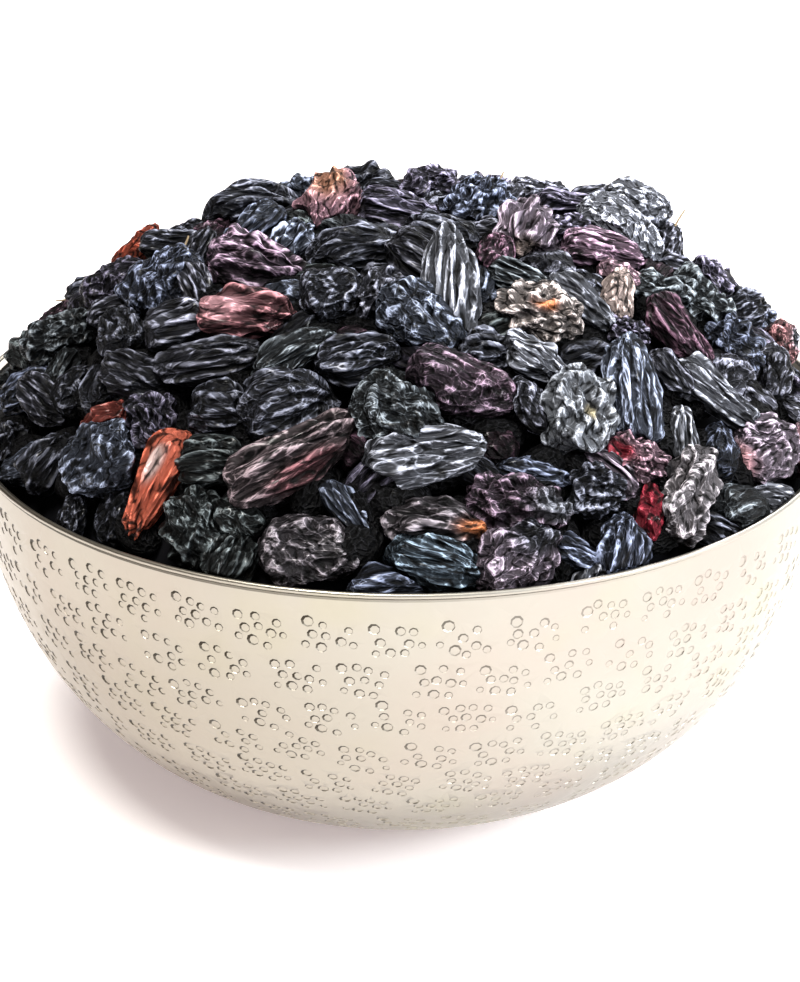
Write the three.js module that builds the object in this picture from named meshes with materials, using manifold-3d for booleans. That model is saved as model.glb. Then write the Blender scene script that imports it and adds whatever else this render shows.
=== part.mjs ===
// A bowl of black raisins, in millimetres, standing on its foot with +Z up.
// The origin is the middle of the foot. The front, which holds the raisins listed by hand, is -Y.
import * as THREE from 'three';
import { mergeVertices } from 'three/addons/utils/BufferGeometryUtils.js';
import Module from 'manifold-3d';

const wasm = await Module();
wasm.setup();

// Bowl: thin sheet, rounded from a small foot to a beaded rim
const bowlHeight = 66;
const rimRadius = 75;
const footRadius = 20;
const sheetThickness = 1;
const beadRadius = 0.45;
const beadTurn = { start: -60, end: 180, step: 40 };
const wallSetback = 0.7;
const wallCurve = { rise: 2.1, round: 2.2 };
const wallEnds = { outside: 1.2, inside: 1 };
const bowlSides = 56;
const wallSteps = 9;
const stepCrowding = 2.2;
const slopeNudge = { least: 0.01, share: 0.001 };

// Heap: a dome over the rim, a little fuller on the right
const heapRadius = 74;
const heapRise = 36;
const domePower = 2.9;
const swell = { x: 38, y: 5, height: 3.5, spread: 18, fade: 4 };
const slopeStep = 0.5;

// Raisins: how deep their middles lie, how close they may come, and the clear space round what they touch
const middleDepth = 4;
const closest = 10.5;
const rimMargin = 7;
const tries = 4000;
const clearance = 0.35;
const nestClearance = 0.5;
const raisinSides = 6;
const raisinRings = 4;
const standsOut = { width: 7, lift: 0.5, liftedWidth: 6 };
const wallReach = 2;

// Raisin forms: tapered spindles with ridges, shares of the half width, and a bend along the length
const plumpness = 2.6;
const flatness = 0.86;
const ridges = { count: 4, twist: 1.5 };
const ridgeDepth = { ribbed: 0.15, arched: 0.15, smooth: 0.05, dented: 0.08, other: 0.12 };
const hollowDepth = { dented: 0.4, other: 0.1 };
const archBend = 0.42;
const uneven = { taper: [-0.22, 0.22], bend: [-0.05, 0.2] };

// How the listed raisins lie for the viewer, and how the others are drawn
const viewHeight = (25 * Math.PI) / 180;
const layBack = 0.6;
const drawn = { tilt: [-0.35, 0.35], length: [11.5, 16.5], slimness: [0.55, 0.75], lift: [-0.6, 1.6] };
const drawnLooks = ['ribbed', 'ribbed', 'ribbed', 'crumpled', 'crumpled', 'smooth', 'dented', 'folded'];
const drawnTints = ['black', 'black', 'black', 'blue', 'purple', 'grey', 'green', 'maroon', 'moss', 'steel'];
const seeds = { places: 20261, forms: 1000, formStep: 37 };

// Core of the heap: how deep it lies, how far out its dome goes, its net of rings and its lumps
const coreDepth = 5;
const coreRadius = 71;
const coreRings = 12;
const coreShoulder = 14;
const buriedSides = 32;
const ringGrowth = 6;
const lump = { height: 1.6, spacing: 12, waver: 0.6, shift: 0.9 };
const headroom = 30;

// Raisins seen in the front half of the heap, one line each: plan x and y, turn of the long axis as seen
// from the front in degrees, length, width, lift above the heap, look, tint
const seenRaisins = [
  [-54, 13, 3, 12, 6, 1.5, 'ribbed', 'black'],
  [-60, 8, 60, 9, 6.5, 0.5, 'smooth', 'maroon'],
  [-48.5, -4, 35, 12, 9, 0.5, 'smooth', 'purple'],
  [-48, -13, 5, 9, 5, 0, 'ribbed', 'grey'],
  [-46, 9, 80, 12, 6.5, 2, 'smooth', 'rust'],
  [-38, 14, 10, 8, 5.5, 1, 'smooth', 'black'],
  [-39, 2, -15, 12, 6, 0.5, 'ribbed', 'black'],
  [-34, -3, 80, 8, 4.5, 0, 'ribbed', 'grey'],
  [-39.5, -14, 75, 15, 13, 1, 'dented', 'blue'],
  [-25, 12, -8, 21, 9, 2.5, 'arched', 'black'],
  [-25, -2, 65, 13, 9, 0.5, 'folded', 'blue'],
  [-18.5, -10.5, 70, 10, 7, 0.5, 'folded', 'steel'],
  [-33.5, -19, -65, 10, 6, 0, 'ribbed', 'grey'],
  [-23.5, -17.5, -28, 17, 10, 1, 'folded', 'plum'],
  [-12, 5, 85, 13, 11, 2, 'lobed', 'peach'],
  [-3, 18, -5, 9, 5, 1, 'ribbed', 'black'],
  [-0.5, 0, -20, 14, 8.5, 1, 'ribbed', 'purple'],
  [-7, -15, 8, 21, 9, 1, 'arched', 'black'],
  [5, 17, 10, 11, 8, 2, 'crumpled', 'purple'],
  [12, 17, 0, 10, 6, 1, 'smooth', 'grey'],
  [13, 2, 70, 12, 10, 1, 'crumpled', 'blue'],
  [17.5, 8, 60, 9, 6, 0.5, 'ribbed', 'grey'],
  [24, 16, 0, 10, 7, 1.5, 'dented', 'grey'],
  [28, 4, 5, 11, 6, 1, 'ribbed', 'purple'],
  [33, 16, 40, 8, 5.5, 3, 'ribbed', 'grey'],
  [40.5, 12, 5, 14, 10, 5, 'dented', 'pale'],
  [38, 11, 15, 16, 9, 1.6, 'ribbed', 'black'],
  [37.5, -2, -48, 17, 9, 2, 'smooth', 'pale'],
  [33, -11, -5, 14, 6.5, 1, 'ribbed', 'magenta'],
  [35.5, -15.5, -15, 8, 5, 0, 'smooth', 'pink'],
  [27.5, -7, 30, 8, 6, 1, 'dented', 'purple'],
  [21, -9, 75, 12, 9.5, 1, 'folded', 'mauve'],
  [15, -17, 80, 10, 7, 0, 'smooth', 'maroon'],
  [30, -20, -20, 10, 6, -1.5, 'smooth', 'black'],
  [19, -23, -28, 12, 5.5, 0, 'ribbed', 'green'],
  [46, 9, 60, 8, 6, 1, 'smooth', 'grey'],
  [46.5, -2, 10, 8, 5, 0, 'ribbed', 'grey'],
  [53, 3, -40, 10, 6.5, 1, 'crumpled', 'purple'],
  [42.5, -15, 5, 11, 6, 0.5, 'crumpled', 'green'],
  [49.5, -11, -20, 12, 9, 1, 'crumpled', 'green'],
  [35, -22, 75, 11, 6, 0.5, 'smooth', 'tan'],
  [36, -29, -10, 8, 5.5, 0, 'crumpled', 'purple'],
  [29, -27, -48, 14, 6, 1, 'ribbed', 'grey'],
  [21.5, -32, -8, 14, 8.5, 1, 'crumpled', 'amber'],
  [45, -24.5, -56, 15, 6.5, 1.5, 'ribbed', 'maroon'],
  [55.5, -15.5, -20, 11, 9, 1, 'crumpled', 'blue'],
  [62, -13, 60, 10, 8, 1, 'smooth', 'grey'],
  [59, 2, 30, 10, 7, 2, 'folded', 'black'],
  [66, 2, 60, 9, 8, 3, 'smooth', 'red'],
  [66.5, -24, 50, 10, 9, 1, 'folded', 'pink'],
  [50.5, -31.5, -33, 17, 7, 1, 'ribbed', 'grey'],
  [36, -42, 88, 20, 9.5, 1.5, 'ribbed', 'blue'],
  [43, -33, -45, 9, 5, 0.5, 'ribbed', 'grey'],
  [44, -42.5, 82, 11, 5, 0, 'ribbed', 'grey'],
  [58.5, -34, 20, 14, 11, 1.5, 'dented', 'mauve'],
  [60, -39.5, 0, 10, 6, 0, 'ribbed', 'pale'],
  [50, -51.5, -15, 10, 5.5, 0, 'ribbed', 'black'],
  [44, -51.5, 58, 17, 10, 1.5, 'crumpled', 'oat'],
  [38.5, -55, 80, 10, 5, -0.5, 'smooth', 'crimson'],
  [36, -50.5, -18, 11, 6.5, 1, 'crumpled', 'pink'],
  [32, -53.5, -40, 10, 6, 0, 'ribbed', 'mauve'],
  [30, -56.5, 10, 9, 8, 0, 'crumpled', 'black'],
  [33.5, -62.5, 85, 12, 8.5, 1, 'ribbed', 'blue'],
  [28.5, -67, 70, 8, 5, 0, 'ribbed', 'pale'],
  [26, -64.5, -20, 9, 5, 0, 'ribbed', 'blue'],
  [27, -48.5, 85, 14, 12, 2, 'sunburst', 'straw'],
  [19.5, -49, -62, 10, 6, 0.5, 'smooth', 'grey'],
  [20.5, -41, -32, 11, 7, 1, 'folded', 'steel'],
  [13, -40, 0, 9, 8, -1, 'ribbed', 'black'],
  [7.5, -27, 89, 22, 8.5, 2, 'ribbed', 'pale'],
  [9.5, -48.5, -16, 18, 11, 1.5, 'crumpled', 'plum'],
  [3, -36, -50, 16, 11, 1, 'dented', 'steel'],
  [-4, -29.5, 70, 10, 8, 0.5, 'crumpled', 'grey'],
  [-11, -30, 20, 11, 10, 1, 'smooth', 'black'],
  [-16.5, -42, 38, 14.5, 7.5, 1, 'folded', 'green'],
  [-7, -43.5, 8, 14, 7.5, 1, 'ribbed', 'black'],
  [-24, -32.5, -8, 16, 8.5, 1.5, 'folded', 'rose'],
  [-29.5, -38.5, 2, 19, 7, 1, 'ribbed', 'grey'],
  [-41.5, -35.5, -28, 12.5, 7.5, 1, 'ribbed', 'grey'],
  [-46.5, -40.5, 28, 9, 7, 1, 'folded', 'brick'],
  [-37.5, -45.5, -55, 11, 8.5, 0.5, 'crumpled', 'purple'],
  [-46.5, -46, 60, 13, 12.5, 1.5, 'swirled', 'grey'],
  [-56, -38, 50, 11, 8.5, 0, 'ribbed', 'black'],
  [-51, -49.5, 80, 9, 5, -0.5, 'smooth', 'black'],
  [-37.5, -54.5, 62, 19, 8.5, 1.5, 'ribbed', 'orange'],
  [-31, -61, -65, 12, 9, 0.5, 'crumpled', 'moss'],
  [-25.5, -65.5, 60, 9, 8, 0, 'ribbed', 'moss'],
  [-58, -26, -38, 12, 6.5, 1, 'ribbed', 'grey'],
  [-65, -27, 70, 10, 7, 0, 'crumpled', 'black'],
  [-57, -11.5, 12, 14, 7.5, 1, 'crumpled', 'green'],
  [-62, -17, 10, 12, 7, 0, 'ribbed', 'blue'],
  [-53, -27, 60, 10, 7, -1, 'smooth', 'black'],
  [-27, -47.5, -10, 12, 8.5, 0.5, 'arched', 'black'],
  [-28.5, -54, 0, 12, 8, 0, 'ribbed', 'moss'],
  [-17.5, -50, 18, 16, 10.5, 1.5, 'arched', 'black'],
  [-16, -57.5, 28, 22, 9, 1.5, 'folded', 'mocha'],
  [-0.5, -53.5, -20, 13, 12, 1.5, 'crumpled', 'green'],
  [4, -58.5, 8, 19, 8.5, 1.5, 'ribbed', 'pale'],
  [-8, -63.5, -52, 11, 4.5, 0, 'ribbed', 'steel'],
  [-13, -67, -5, 16, 10, 0, 'dented', 'brown'],
  [5.3, -65, -6, 16, 7.5, 0, 'folded', 'ember'],
  [5.3, -69, -14, 15, 8, 0, 'ribbed', 'teal'],
  [17.8, -62, -8, 16, 8.5, 1, 'crumpled', 'plum'],
  [18, -67, 35, 15, 10.5, 0, 'crumpled', 'mauve'],
  [20, -57, -5, 12, 5, -0.5, 'ribbed', 'blue'],
];

// Tints that stand out from the black ones: each such raisin is a piece of its own in its own nest
const brightTints = {
  rust: 'red', brick: 'red', red: 'red', crimson: 'red', orange: 'red', rose: 'pink', pink: 'pink',
  magenta: 'pink', peach: 'tan', tan: 'tan', amber: 'tan', plum: 'plum',
};

const materials = {
  bowl: new THREE.MeshStandardMaterial({ color: 0xd9cfc0, roughness: 0.42, metalness: 1 }),
  black: new THREE.MeshStandardMaterial({ color: 0x17151a, roughness: 0.45, metalness: 0 }),
  red: new THREE.MeshStandardMaterial({ color: 0x7d2b22, roughness: 0.5, metalness: 0 }),
  pink: new THREE.MeshStandardMaterial({ color: 0x8a5558, roughness: 0.5, metalness: 0 }),
  tan: new THREE.MeshStandardMaterial({ color: 0x9a7460, roughness: 0.5, metalness: 0 }),
  plum: new THREE.MeshStandardMaterial({ color: 0x3c2733, roughness: 0.5, metalness: 0 }),
};

// Random numbers that come out the same in every run
function drawer(start) {
  let seed = start;
  return (low, high) => {
    seed = (seed * 16807) % 2147483647;
    return low + (high - low) * (seed / 2147483647);
  };
}

// Closed meshes to and from solids
function solidFrom(geometry) {
  const bare = geometry.clone();
  bare.deleteAttribute('normal');
  bare.deleteAttribute('uv');
  const merged = mergeVertices(bare, 1e-4);
  const vertProperties = new Float32Array(merged.attributes.position.array);
  const triVerts = new Uint32Array(merged.index.array);
  return new wasm.Manifold(new wasm.Mesh({ numProp: 3, vertProperties, triVerts }));
}

function geometryFrom(solid) {
  const mesh = solid.getMesh();
  const geometry = new THREE.BufferGeometry();
  geometry.setAttribute('position', new THREE.BufferAttribute(mesh.vertProperties, 3));
  geometry.setIndex(new THREE.BufferAttribute(mesh.triVerts, 1));
  geometry.computeVertexNormals();
  return geometry;
}

// The biggest body of a solid, without sealed hollows and loose scraps
function mainBody(solid) {
  const bodies = solid.decompose();
  return bodies.reduce((best, body) => (body.volume() > best.volume() ? body : best));
}

function revolve(outline, sides) {
  const points = outline.map(([radius, height]) => new THREE.Vector2(radius, height));
  return new THREE.LatheGeometry(points, sides).rotateX(Math.PI / 2);
}

// Bowl outline
function wallRadius(height) {
  const wallTop = rimRadius - wallSetback;
  const rise = 1 - (1 - height / bowlHeight) ** wallCurve.rise;
  return footRadius + (wallTop - footRadius) * rise ** (1 / wallCurve.round);
}

// Points up the wall, moved inwards by the given distance and stopping at the given height
function wallPoints(inwards, top) {
  const points = [];
  for (let step = 0; step <= wallSteps; step += 1) {
    const height = top * (step / wallSteps) ** stepCrowding;
    const nudge = slopeNudge.least + slopeNudge.share * height;
    const along = [wallRadius(height + nudge) - wallRadius(height), nudge];
    const size = Math.hypot(along[0], along[1]);
    points.push([
      wallRadius(height) - (inwards * along[1]) / size,
      height + (inwards * along[0]) / size,
    ]);
  }
  return points;
}

function bowlGeometry() {
  const beadRim = [rimRadius - beadRadius, bowlHeight - beadRadius];
  const bead = [];
  for (let degrees = beadTurn.start; degrees <= beadTurn.end; degrees += beadTurn.step) {
    const angle = (degrees * Math.PI) / 180;
    bead.push([beadRim[0] + beadRadius * Math.cos(angle), beadRim[1] + beadRadius * Math.sin(angle)]);
  }
  const outside = wallPoints(0, bowlHeight - wallEnds.outside);
  const inside = wallPoints(sheetThickness, bowlHeight - wallEnds.inside).reverse();
  return revolve([[0, 0], ...outside, ...bead, ...inside, [0, sheetThickness]], bowlSides);
}

// Heap surface over the plan
function heapHeight(x, y) {
  const reach = Math.min(Math.hypot(x, y) / heapRadius, 1);
  const away = (x - swell.x) ** 2 + (y - swell.y) ** 2;
  const extra = swell.height * Math.exp(-away / (2 * swell.spread ** 2)) * (1 - reach ** swell.fade);
  return bowlHeight + heapRise * (1 - reach ** domePower) + extra;
}

function heapNormal(x, y) {
  const slopeX = (heapHeight(x + slopeStep, y) - heapHeight(x - slopeStep, y)) / (2 * slopeStep);
  const slopeY = (heapHeight(x, y + slopeStep) - heapHeight(x, y - slopeStep)) / (2 * slopeStep);
  return new THREE.Vector3(-slopeX, -slopeY, 1).normalize();
}

function middleAt(x, y, lift) {
  return new THREE.Vector3(x, y, heapHeight(x, y) - middleDepth + lift);
}

// Small raisins that lie low between the others are part of the core
function standing({ width, lift, tint }) {
  const lifted = lift >= standsOut.lift && width >= standsOut.liftedWidth;
  return brightTints[tint] || width >= standsOut.width || lifted;
}

// A listed raisin lies between the viewer's picture plane and the slope of the heap
function placeSeen([x, y, turn, length, width, lift, look, tint]) {
  const angle = (turn * Math.PI) / 180;
  const normal = heapNormal(x, y);
  const axis = new THREE.Vector3(
    Math.cos(angle),
    Math.sin(angle) * Math.sin(viewHeight),
    Math.sin(angle) * Math.cos(viewHeight),
  );
  axis.addScaledVector(normal, -layBack * axis.dot(normal)).normalize();
  return { middle: middleAt(x, y, lift), axis, normal, length, width, lift, look, tint };
}

// The rest of the surface is filled wherever a raisin still has room
function placeRest(placed) {
  const draw = drawer(seeds.places);
  const rest = [];
  for (let count = 0; count < tries; count += 1) {
    const x = draw(-heapRadius, heapRadius);
    const y = draw(-heapRadius, heapRadius);
    if (Math.hypot(x, y) > heapRadius - rimMargin) continue;
    const spot = middleAt(x, y, 0);
    const near = [...placed, ...rest].some((raisin) => raisin.middle.distanceTo(spot) < closest);
    if (near) continue;
    const angle = draw(0, Math.PI);
    const tilt = draw(...drawn.tilt);
    const length = draw(...drawn.length);
    const width = length * draw(...drawn.slimness);
    const lift = draw(...drawn.lift);
    const look = drawnLooks[Math.floor(draw(0, drawnLooks.length))];
    const tint = drawnTints[Math.floor(draw(0, drawnTints.length))];
    const normal = heapNormal(x, y);
    const axis = new THREE.Vector3(Math.cos(angle), Math.sin(angle), 0);
    axis.addScaledVector(normal, tilt - axis.dot(normal)).normalize();
    rest.push({ middle: middleAt(x, y, lift), axis, normal, length, width, look, tint });
  }
  return rest;
}

// The cross axes and the seeded unevenness of one raisin
function shapeRaisin(raisin, index) {
  const draw = drawer(seeds.forms + seeds.formStep * index);
  const across = new THREE.Vector3().crossVectors(raisin.axis, raisin.normal).normalize();
  return {
    ...raisin,
    across,
    up: new THREE.Vector3().crossVectors(across, raisin.axis),
    ridge: ridgeDepth[raisin.look] ?? ridgeDepth.other,
    taper: draw(...uneven.taper),
    bend: raisin.look === 'arched' ? archBend : draw(...uneven.bend),
    hollow: hollowDepth[raisin.look] ?? hollowDepth.other,
    thickness: raisin.width * flatness,
  };
}

// Radius of a raisin's outline, as a share of its half width, at a place along it and an angle round it:
// a plump tapered spindle with four ridges and a sunken top
function outlineRadius(raisin, along, angle) {
  const plump = Math.sqrt(Math.max(0, 1 - Math.abs(along) ** plumpness));
  const ridged = 1 + raisin.ridge * Math.cos(ridges.count * angle + ridges.twist * along);
  const sunk = 1 - raisin.hollow * Math.max(0, Math.sin(angle)) ** 4 * (1 - along * along);
  return plump * ridged * sunk * (1 + raisin.taper * along);
}

function sag(raisin, along) {
  return (raisin.bend * along * along * raisin.length) / 2;
}

function bareSphere() {
  const sphere = new THREE.SphereGeometry(1, raisinSides, raisinRings);
  sphere.deleteAttribute('normal');
  sphere.deleteAttribute('uv');
  return mergeVertices(sphere, 1e-4);
}

// One raisin as a mesh of its own, grown on all sides by the given distance
function raisinGeometry(raisin, grow) {
  const geometry = bareSphere();
  const position = geometry.attributes.position;
  for (let vertex = 0; vertex < position.count; vertex += 1) {
    const along = position.getY(vertex);
    const angle = Math.atan2(position.getZ(vertex), position.getX(vertex));
    const radius = outlineRadius(raisin, along, angle);
    const aside = (radius * Math.cos(angle) * raisin.width) / 2;
    const high = (radius * Math.sin(angle) * raisin.thickness) / 2 - sag(raisin, along);
    const point = raisin.axis.clone().multiplyScalar((along * raisin.length) / 2);
    point.addScaledVector(raisin.across, aside).addScaledVector(raisin.up, high);
    point.multiplyScalar(1 + grow / point.length()).add(raisin.middle);
    position.setXYZ(vertex, point.x, point.y, point.z);
  }
  return geometry;
}

// The room that the raisins may fill: inside the wall, and straight up from the rim
function insideBowl() {
  const wall = wallPoints(sheetThickness + clearance, bowlHeight - wallEnds.inside);
  const edge = wall[wall.length - 1][0];
  const top = bowlHeight + heapRise + headroom;
  return solidFrom(revolve([[0, wall[0][1]], ...wall, [edge, top], [0, top]], bowlSides));
}

// Triangles between two rings of points, which may differ in number
function joinRings(lower, upper) {
  const triangles = [];
  const past = 2;
  let low = 0;
  let high = 0;
  for (;;) {
    const lowNext = lower.count > 1 && low < lower.count ? (low + 1) / lower.count : past;
    const highNext = upper.count > 1 && high < upper.count ? (high + 1) / upper.count : past;
    if (lowNext === past && highNext === past) return triangles;
    const lowPoint = lower.first + (low % lower.count);
    const highPoint = upper.first + (high % upper.count);
    if (lowNext <= highNext) {
      low += 1;
      triangles.push(lowPoint, lower.first + (low % lower.count), highPoint);
    } else {
      high += 1;
      triangles.push(lowPoint, upper.first + (high % upper.count), highPoint);
    }
  }
}

// The packed inside of the heap, under the raisins that show: rings up the bowl's wall, then a lumpy dome
// of rings of 72, 66, 60 points and so on to the crown
function heapCore() {
  const points = [];
  const rings = [];
  const addRing = (count, radius, heightAt) => {
    rings.push({ first: points.length, count });
    for (let index = 0; index < count; index += 1) {
      const angle = (2 * Math.PI * index) / count;
      const x = radius * Math.cos(angle);
      const y = radius * Math.sin(angle);
      points.push(new THREE.Vector3(x, y, heightAt(x, y)));
    }
  };
  const wave = (2 * Math.PI) / lump.spacing;
  const domeHeight = (x, y) => {
    const waver = lump.waver * Math.sin(wave * y);
    const lumps = Math.sin(wave * x + waver) * Math.sin(wave * y + lump.shift);
    return heapHeight(x, y) - coreDepth + lump.height * lumps;
  };
  const wall = wallPoints(sheetThickness + clearance, bowlHeight - coreShoulder);
  addRing(1, 0, () => wall[0][1]);
  wall.forEach(([radius, height]) => addRing(buriedSides, radius, () => height));
  for (let ring = coreRings; ring >= 0; ring -= 1) {
    addRing(Math.max(1, ringGrowth * ring), (coreRadius * ring) / coreRings, domeHeight);
  }
  const geometry = new THREE.BufferGeometry();
  geometry.setFromPoints(points);
  geometry.setIndex(rings.slice(1).flatMap((ring, index) => joinRings(rings[index], ring)));
  return solidFrom(geometry);
}

// One raisin as a solid, cut where it would reach into the bowl's wall
function raisinSolid(raisin, grow) {
  const whole = solidFrom(raisinGeometry(raisin, grow));
  const reach = Math.hypot(raisin.middle.x, raisin.middle.y) + raisin.length / 2;
  return reach > rimRadius - wallReach ? whole.intersect(room) : whole;
}

// Assembly
function addPiece(group, name, geometry, material) {
  const mesh = new THREE.Mesh(geometry, material);
  mesh.name = name;
  group.add(mesh);
}

const bowlOfRaisins = new THREE.Group();
addPiece(bowlOfRaisins, 'bowl', bowlGeometry(), materials.bowl);

const room = insideBowl();
const seen = seenRaisins.map(placeSeen);
const raisins = [...seen.filter(standing), ...placeRest(seen)].map(shapeRaisin);
const bright = raisins.filter((raisin) => brightTints[raisin.tint]);
const dark = raisins.filter((raisin) => !brightTints[raisin.tint]);
const nests = bright.map((raisin) => raisinSolid(raisin, nestClearance));
const counts = {};
bright.forEach((raisin, index) => {
  const colour = brightTints[raisin.tint];
  counts[colour] = (counts[colour] ?? 0) + 1;
  const piece = nests.slice(0, index).reduce((rest, nest) => rest.subtract(nest), raisinSolid(raisin, 0));
  const name = `raisin_${colour}_${counts[colour]}`;
  addPiece(bowlOfRaisins, name, geometryFrom(mainBody(piece)), materials[colour]);
});
const fused = dark.reduce((heap, raisin) => heap.add(raisinSolid(raisin, 0)), heapCore());
const heap = nests.reduce((rest, nest) => rest.subtract(nest), fused);
addPiece(bowlOfRaisins, 'raisin_heap', geometryFrom(mainBody(heap)), materials.black);

export default bowlOfRaisins;
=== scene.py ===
# A small bowl heaped with black raisins: the looks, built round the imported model, in metres, +Z up.
# The heap's own sizes and the list of raisins are in millimetres and are scaled where a mesh is made.
import math

import bmesh
import bpy
import numpy as np
from mathutils import Matrix, Vector


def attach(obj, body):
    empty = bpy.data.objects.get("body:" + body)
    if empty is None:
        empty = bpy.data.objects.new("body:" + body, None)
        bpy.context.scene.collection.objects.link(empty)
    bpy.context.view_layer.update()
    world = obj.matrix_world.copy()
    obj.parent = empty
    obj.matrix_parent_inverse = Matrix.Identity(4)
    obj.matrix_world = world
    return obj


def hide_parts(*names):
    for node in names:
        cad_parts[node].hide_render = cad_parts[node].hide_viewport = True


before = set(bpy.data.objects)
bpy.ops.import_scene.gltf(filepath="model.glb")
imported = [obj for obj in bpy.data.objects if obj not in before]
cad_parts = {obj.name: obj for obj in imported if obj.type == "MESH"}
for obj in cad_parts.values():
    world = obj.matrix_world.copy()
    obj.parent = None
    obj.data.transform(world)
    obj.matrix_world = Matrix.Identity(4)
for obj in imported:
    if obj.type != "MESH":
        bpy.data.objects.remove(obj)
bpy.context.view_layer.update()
mm = 0.001

# The camera, as the photograph was taken: lens in millimetres, turn and height in degrees
shot = {"distance": 0.420, "height": 25.0, "aim": 0.0478, "roll": 0.49, "lens": 86.55, "film": 36}


def addObject(name, data):
    thing = bpy.data.objects.new(name, data)
    bpy.context.scene.collection.objects.link(thing)
    return thing


def meshOf(build, name):
    mesh = bpy.data.meshes.new(name)
    build.to_mesh(mesh)
    build.free()
    return mesh


def unit(vectors):
    return vectors / np.linalg.norm(vectors, axis=-1, keepdims=True)


def turns(sides):
    return np.arange(sides) * 2 * math.pi / sides


# What a finished piece rides on and which nodes it stands for, which are hidden; the slot is not used
def assign(piece, slot, *nodes):
    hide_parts(*nodes)
    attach(piece, "root")


def placeCamera():
    data = bpy.data.cameras.new("camera")
    data.lens = shot["lens"]
    data.sensor_width = shot["film"]
    data.clip_start = 0.01
    data.clip_end = 20
    camera = addObject("camera", data)
    height = math.radians(shot["height"])
    back = Vector((0, -math.cos(height), math.sin(height)))
    spot = Matrix.Translation(Vector((0, 0, shot["aim"])) + back * shot["distance"])
    turn = back.to_track_quat("Z", "Y").to_matrix().to_4x4()
    camera.matrix_world = spot @ turn @ Matrix.Rotation(math.radians(shot["roll"]), 4, "Z")
    bpy.context.scene.camera = camera


placeCamera()

# The heap: a dome over the rim, a little fuller on the right and lower at the back
heap = {
    "rim": 66.0, "radius": 74.0, "rise": 36.0, "power": 2.9, "depth": 4.0,
    "swellX": 38.0, "swellY": 5.0, "swellHeight": 3.5, "swellSpread": 18.0, "swellFade": 4,
    "sag": 3.2, "sagFrom": 3.0, "sagTo": 46.0, "sagLeft": 3.6, "sagRight": 0.7, "sagReach": 60.0,
}

# The bowl: a thin sheet, rounded from its foot to a fine bead
bowl = {
    "height": 66.0, "rim": 75.0, "foot": 20.0, "sheet": 1.0, "setback": 0.7, "rise": 2.1, "round": 2.2,
    "bead": 0.45, "beadFrom": 1.2, "beadTurn": (-70, 180, 12), "groove": 0.25, "grooveFrom": 1.6,
    "insideFrom": 1.0, "clearance": 0.3, "sides": 104, "steps": 27, "stepsInside": 12, "crowding": 1.6,
    # painted shade in the groove under the bead, and how much less of it there is at the right
    "paintedShade": 0.45, "paintedShadeAside": 0.4,
}


def wallRadius(height):
    climb = 1 - np.abs(1 - height / bowl["height"]) ** bowl["rise"]
    return bowl["foot"] + (bowl["rim"] - bowl["setback"] - bowl["foot"]) * climb ** (1 / bowl["round"])


def heapHeight(x, y):
    reach = np.minimum(np.hypot(x, y) / heap["radius"], 1)
    away = (x - heap["swellX"]) ** 2 + (y - heap["swellY"]) ** 2
    swell = heap["swellHeight"] * np.exp(-away / (2 * heap["swellSpread"] ** 2))
    dome = heap["rim"] + heap["rise"] * (1 - reach ** heap["power"])
    behind = np.clip((y - heap["sagFrom"]) / (heap["sagTo"] - heap["sagFrom"]), 0, 1)
    aside = np.where(x < 0, heap["sagLeft"], heap["sagRight"]) * (x / heap["sagReach"]) ** 2
    sag = heap["sag"] * behind * (1 + aside)
    return dome + swell * (1 - reach ** heap["swellFade"]) - sag


def heapNormal(x, y):
    step = 0.5
    slopeX = (heapHeight(x + step, y) - heapHeight(x - step, y)) / (2 * step)
    slopeY = (heapHeight(x, y + step) - heapHeight(x, y - step)) / (2 * step)
    return unit(np.array([-slopeX, -slopeY, 1.0]))


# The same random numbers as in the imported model, so that each raisin lies where its solid does
def drawer(start):
    state = [start]

    def draw(low, high):
        state[0] = state[0] * 16807 % 2147483647
        return low + (high - low) * (state[0] / 2147483647)

    return draw


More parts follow.
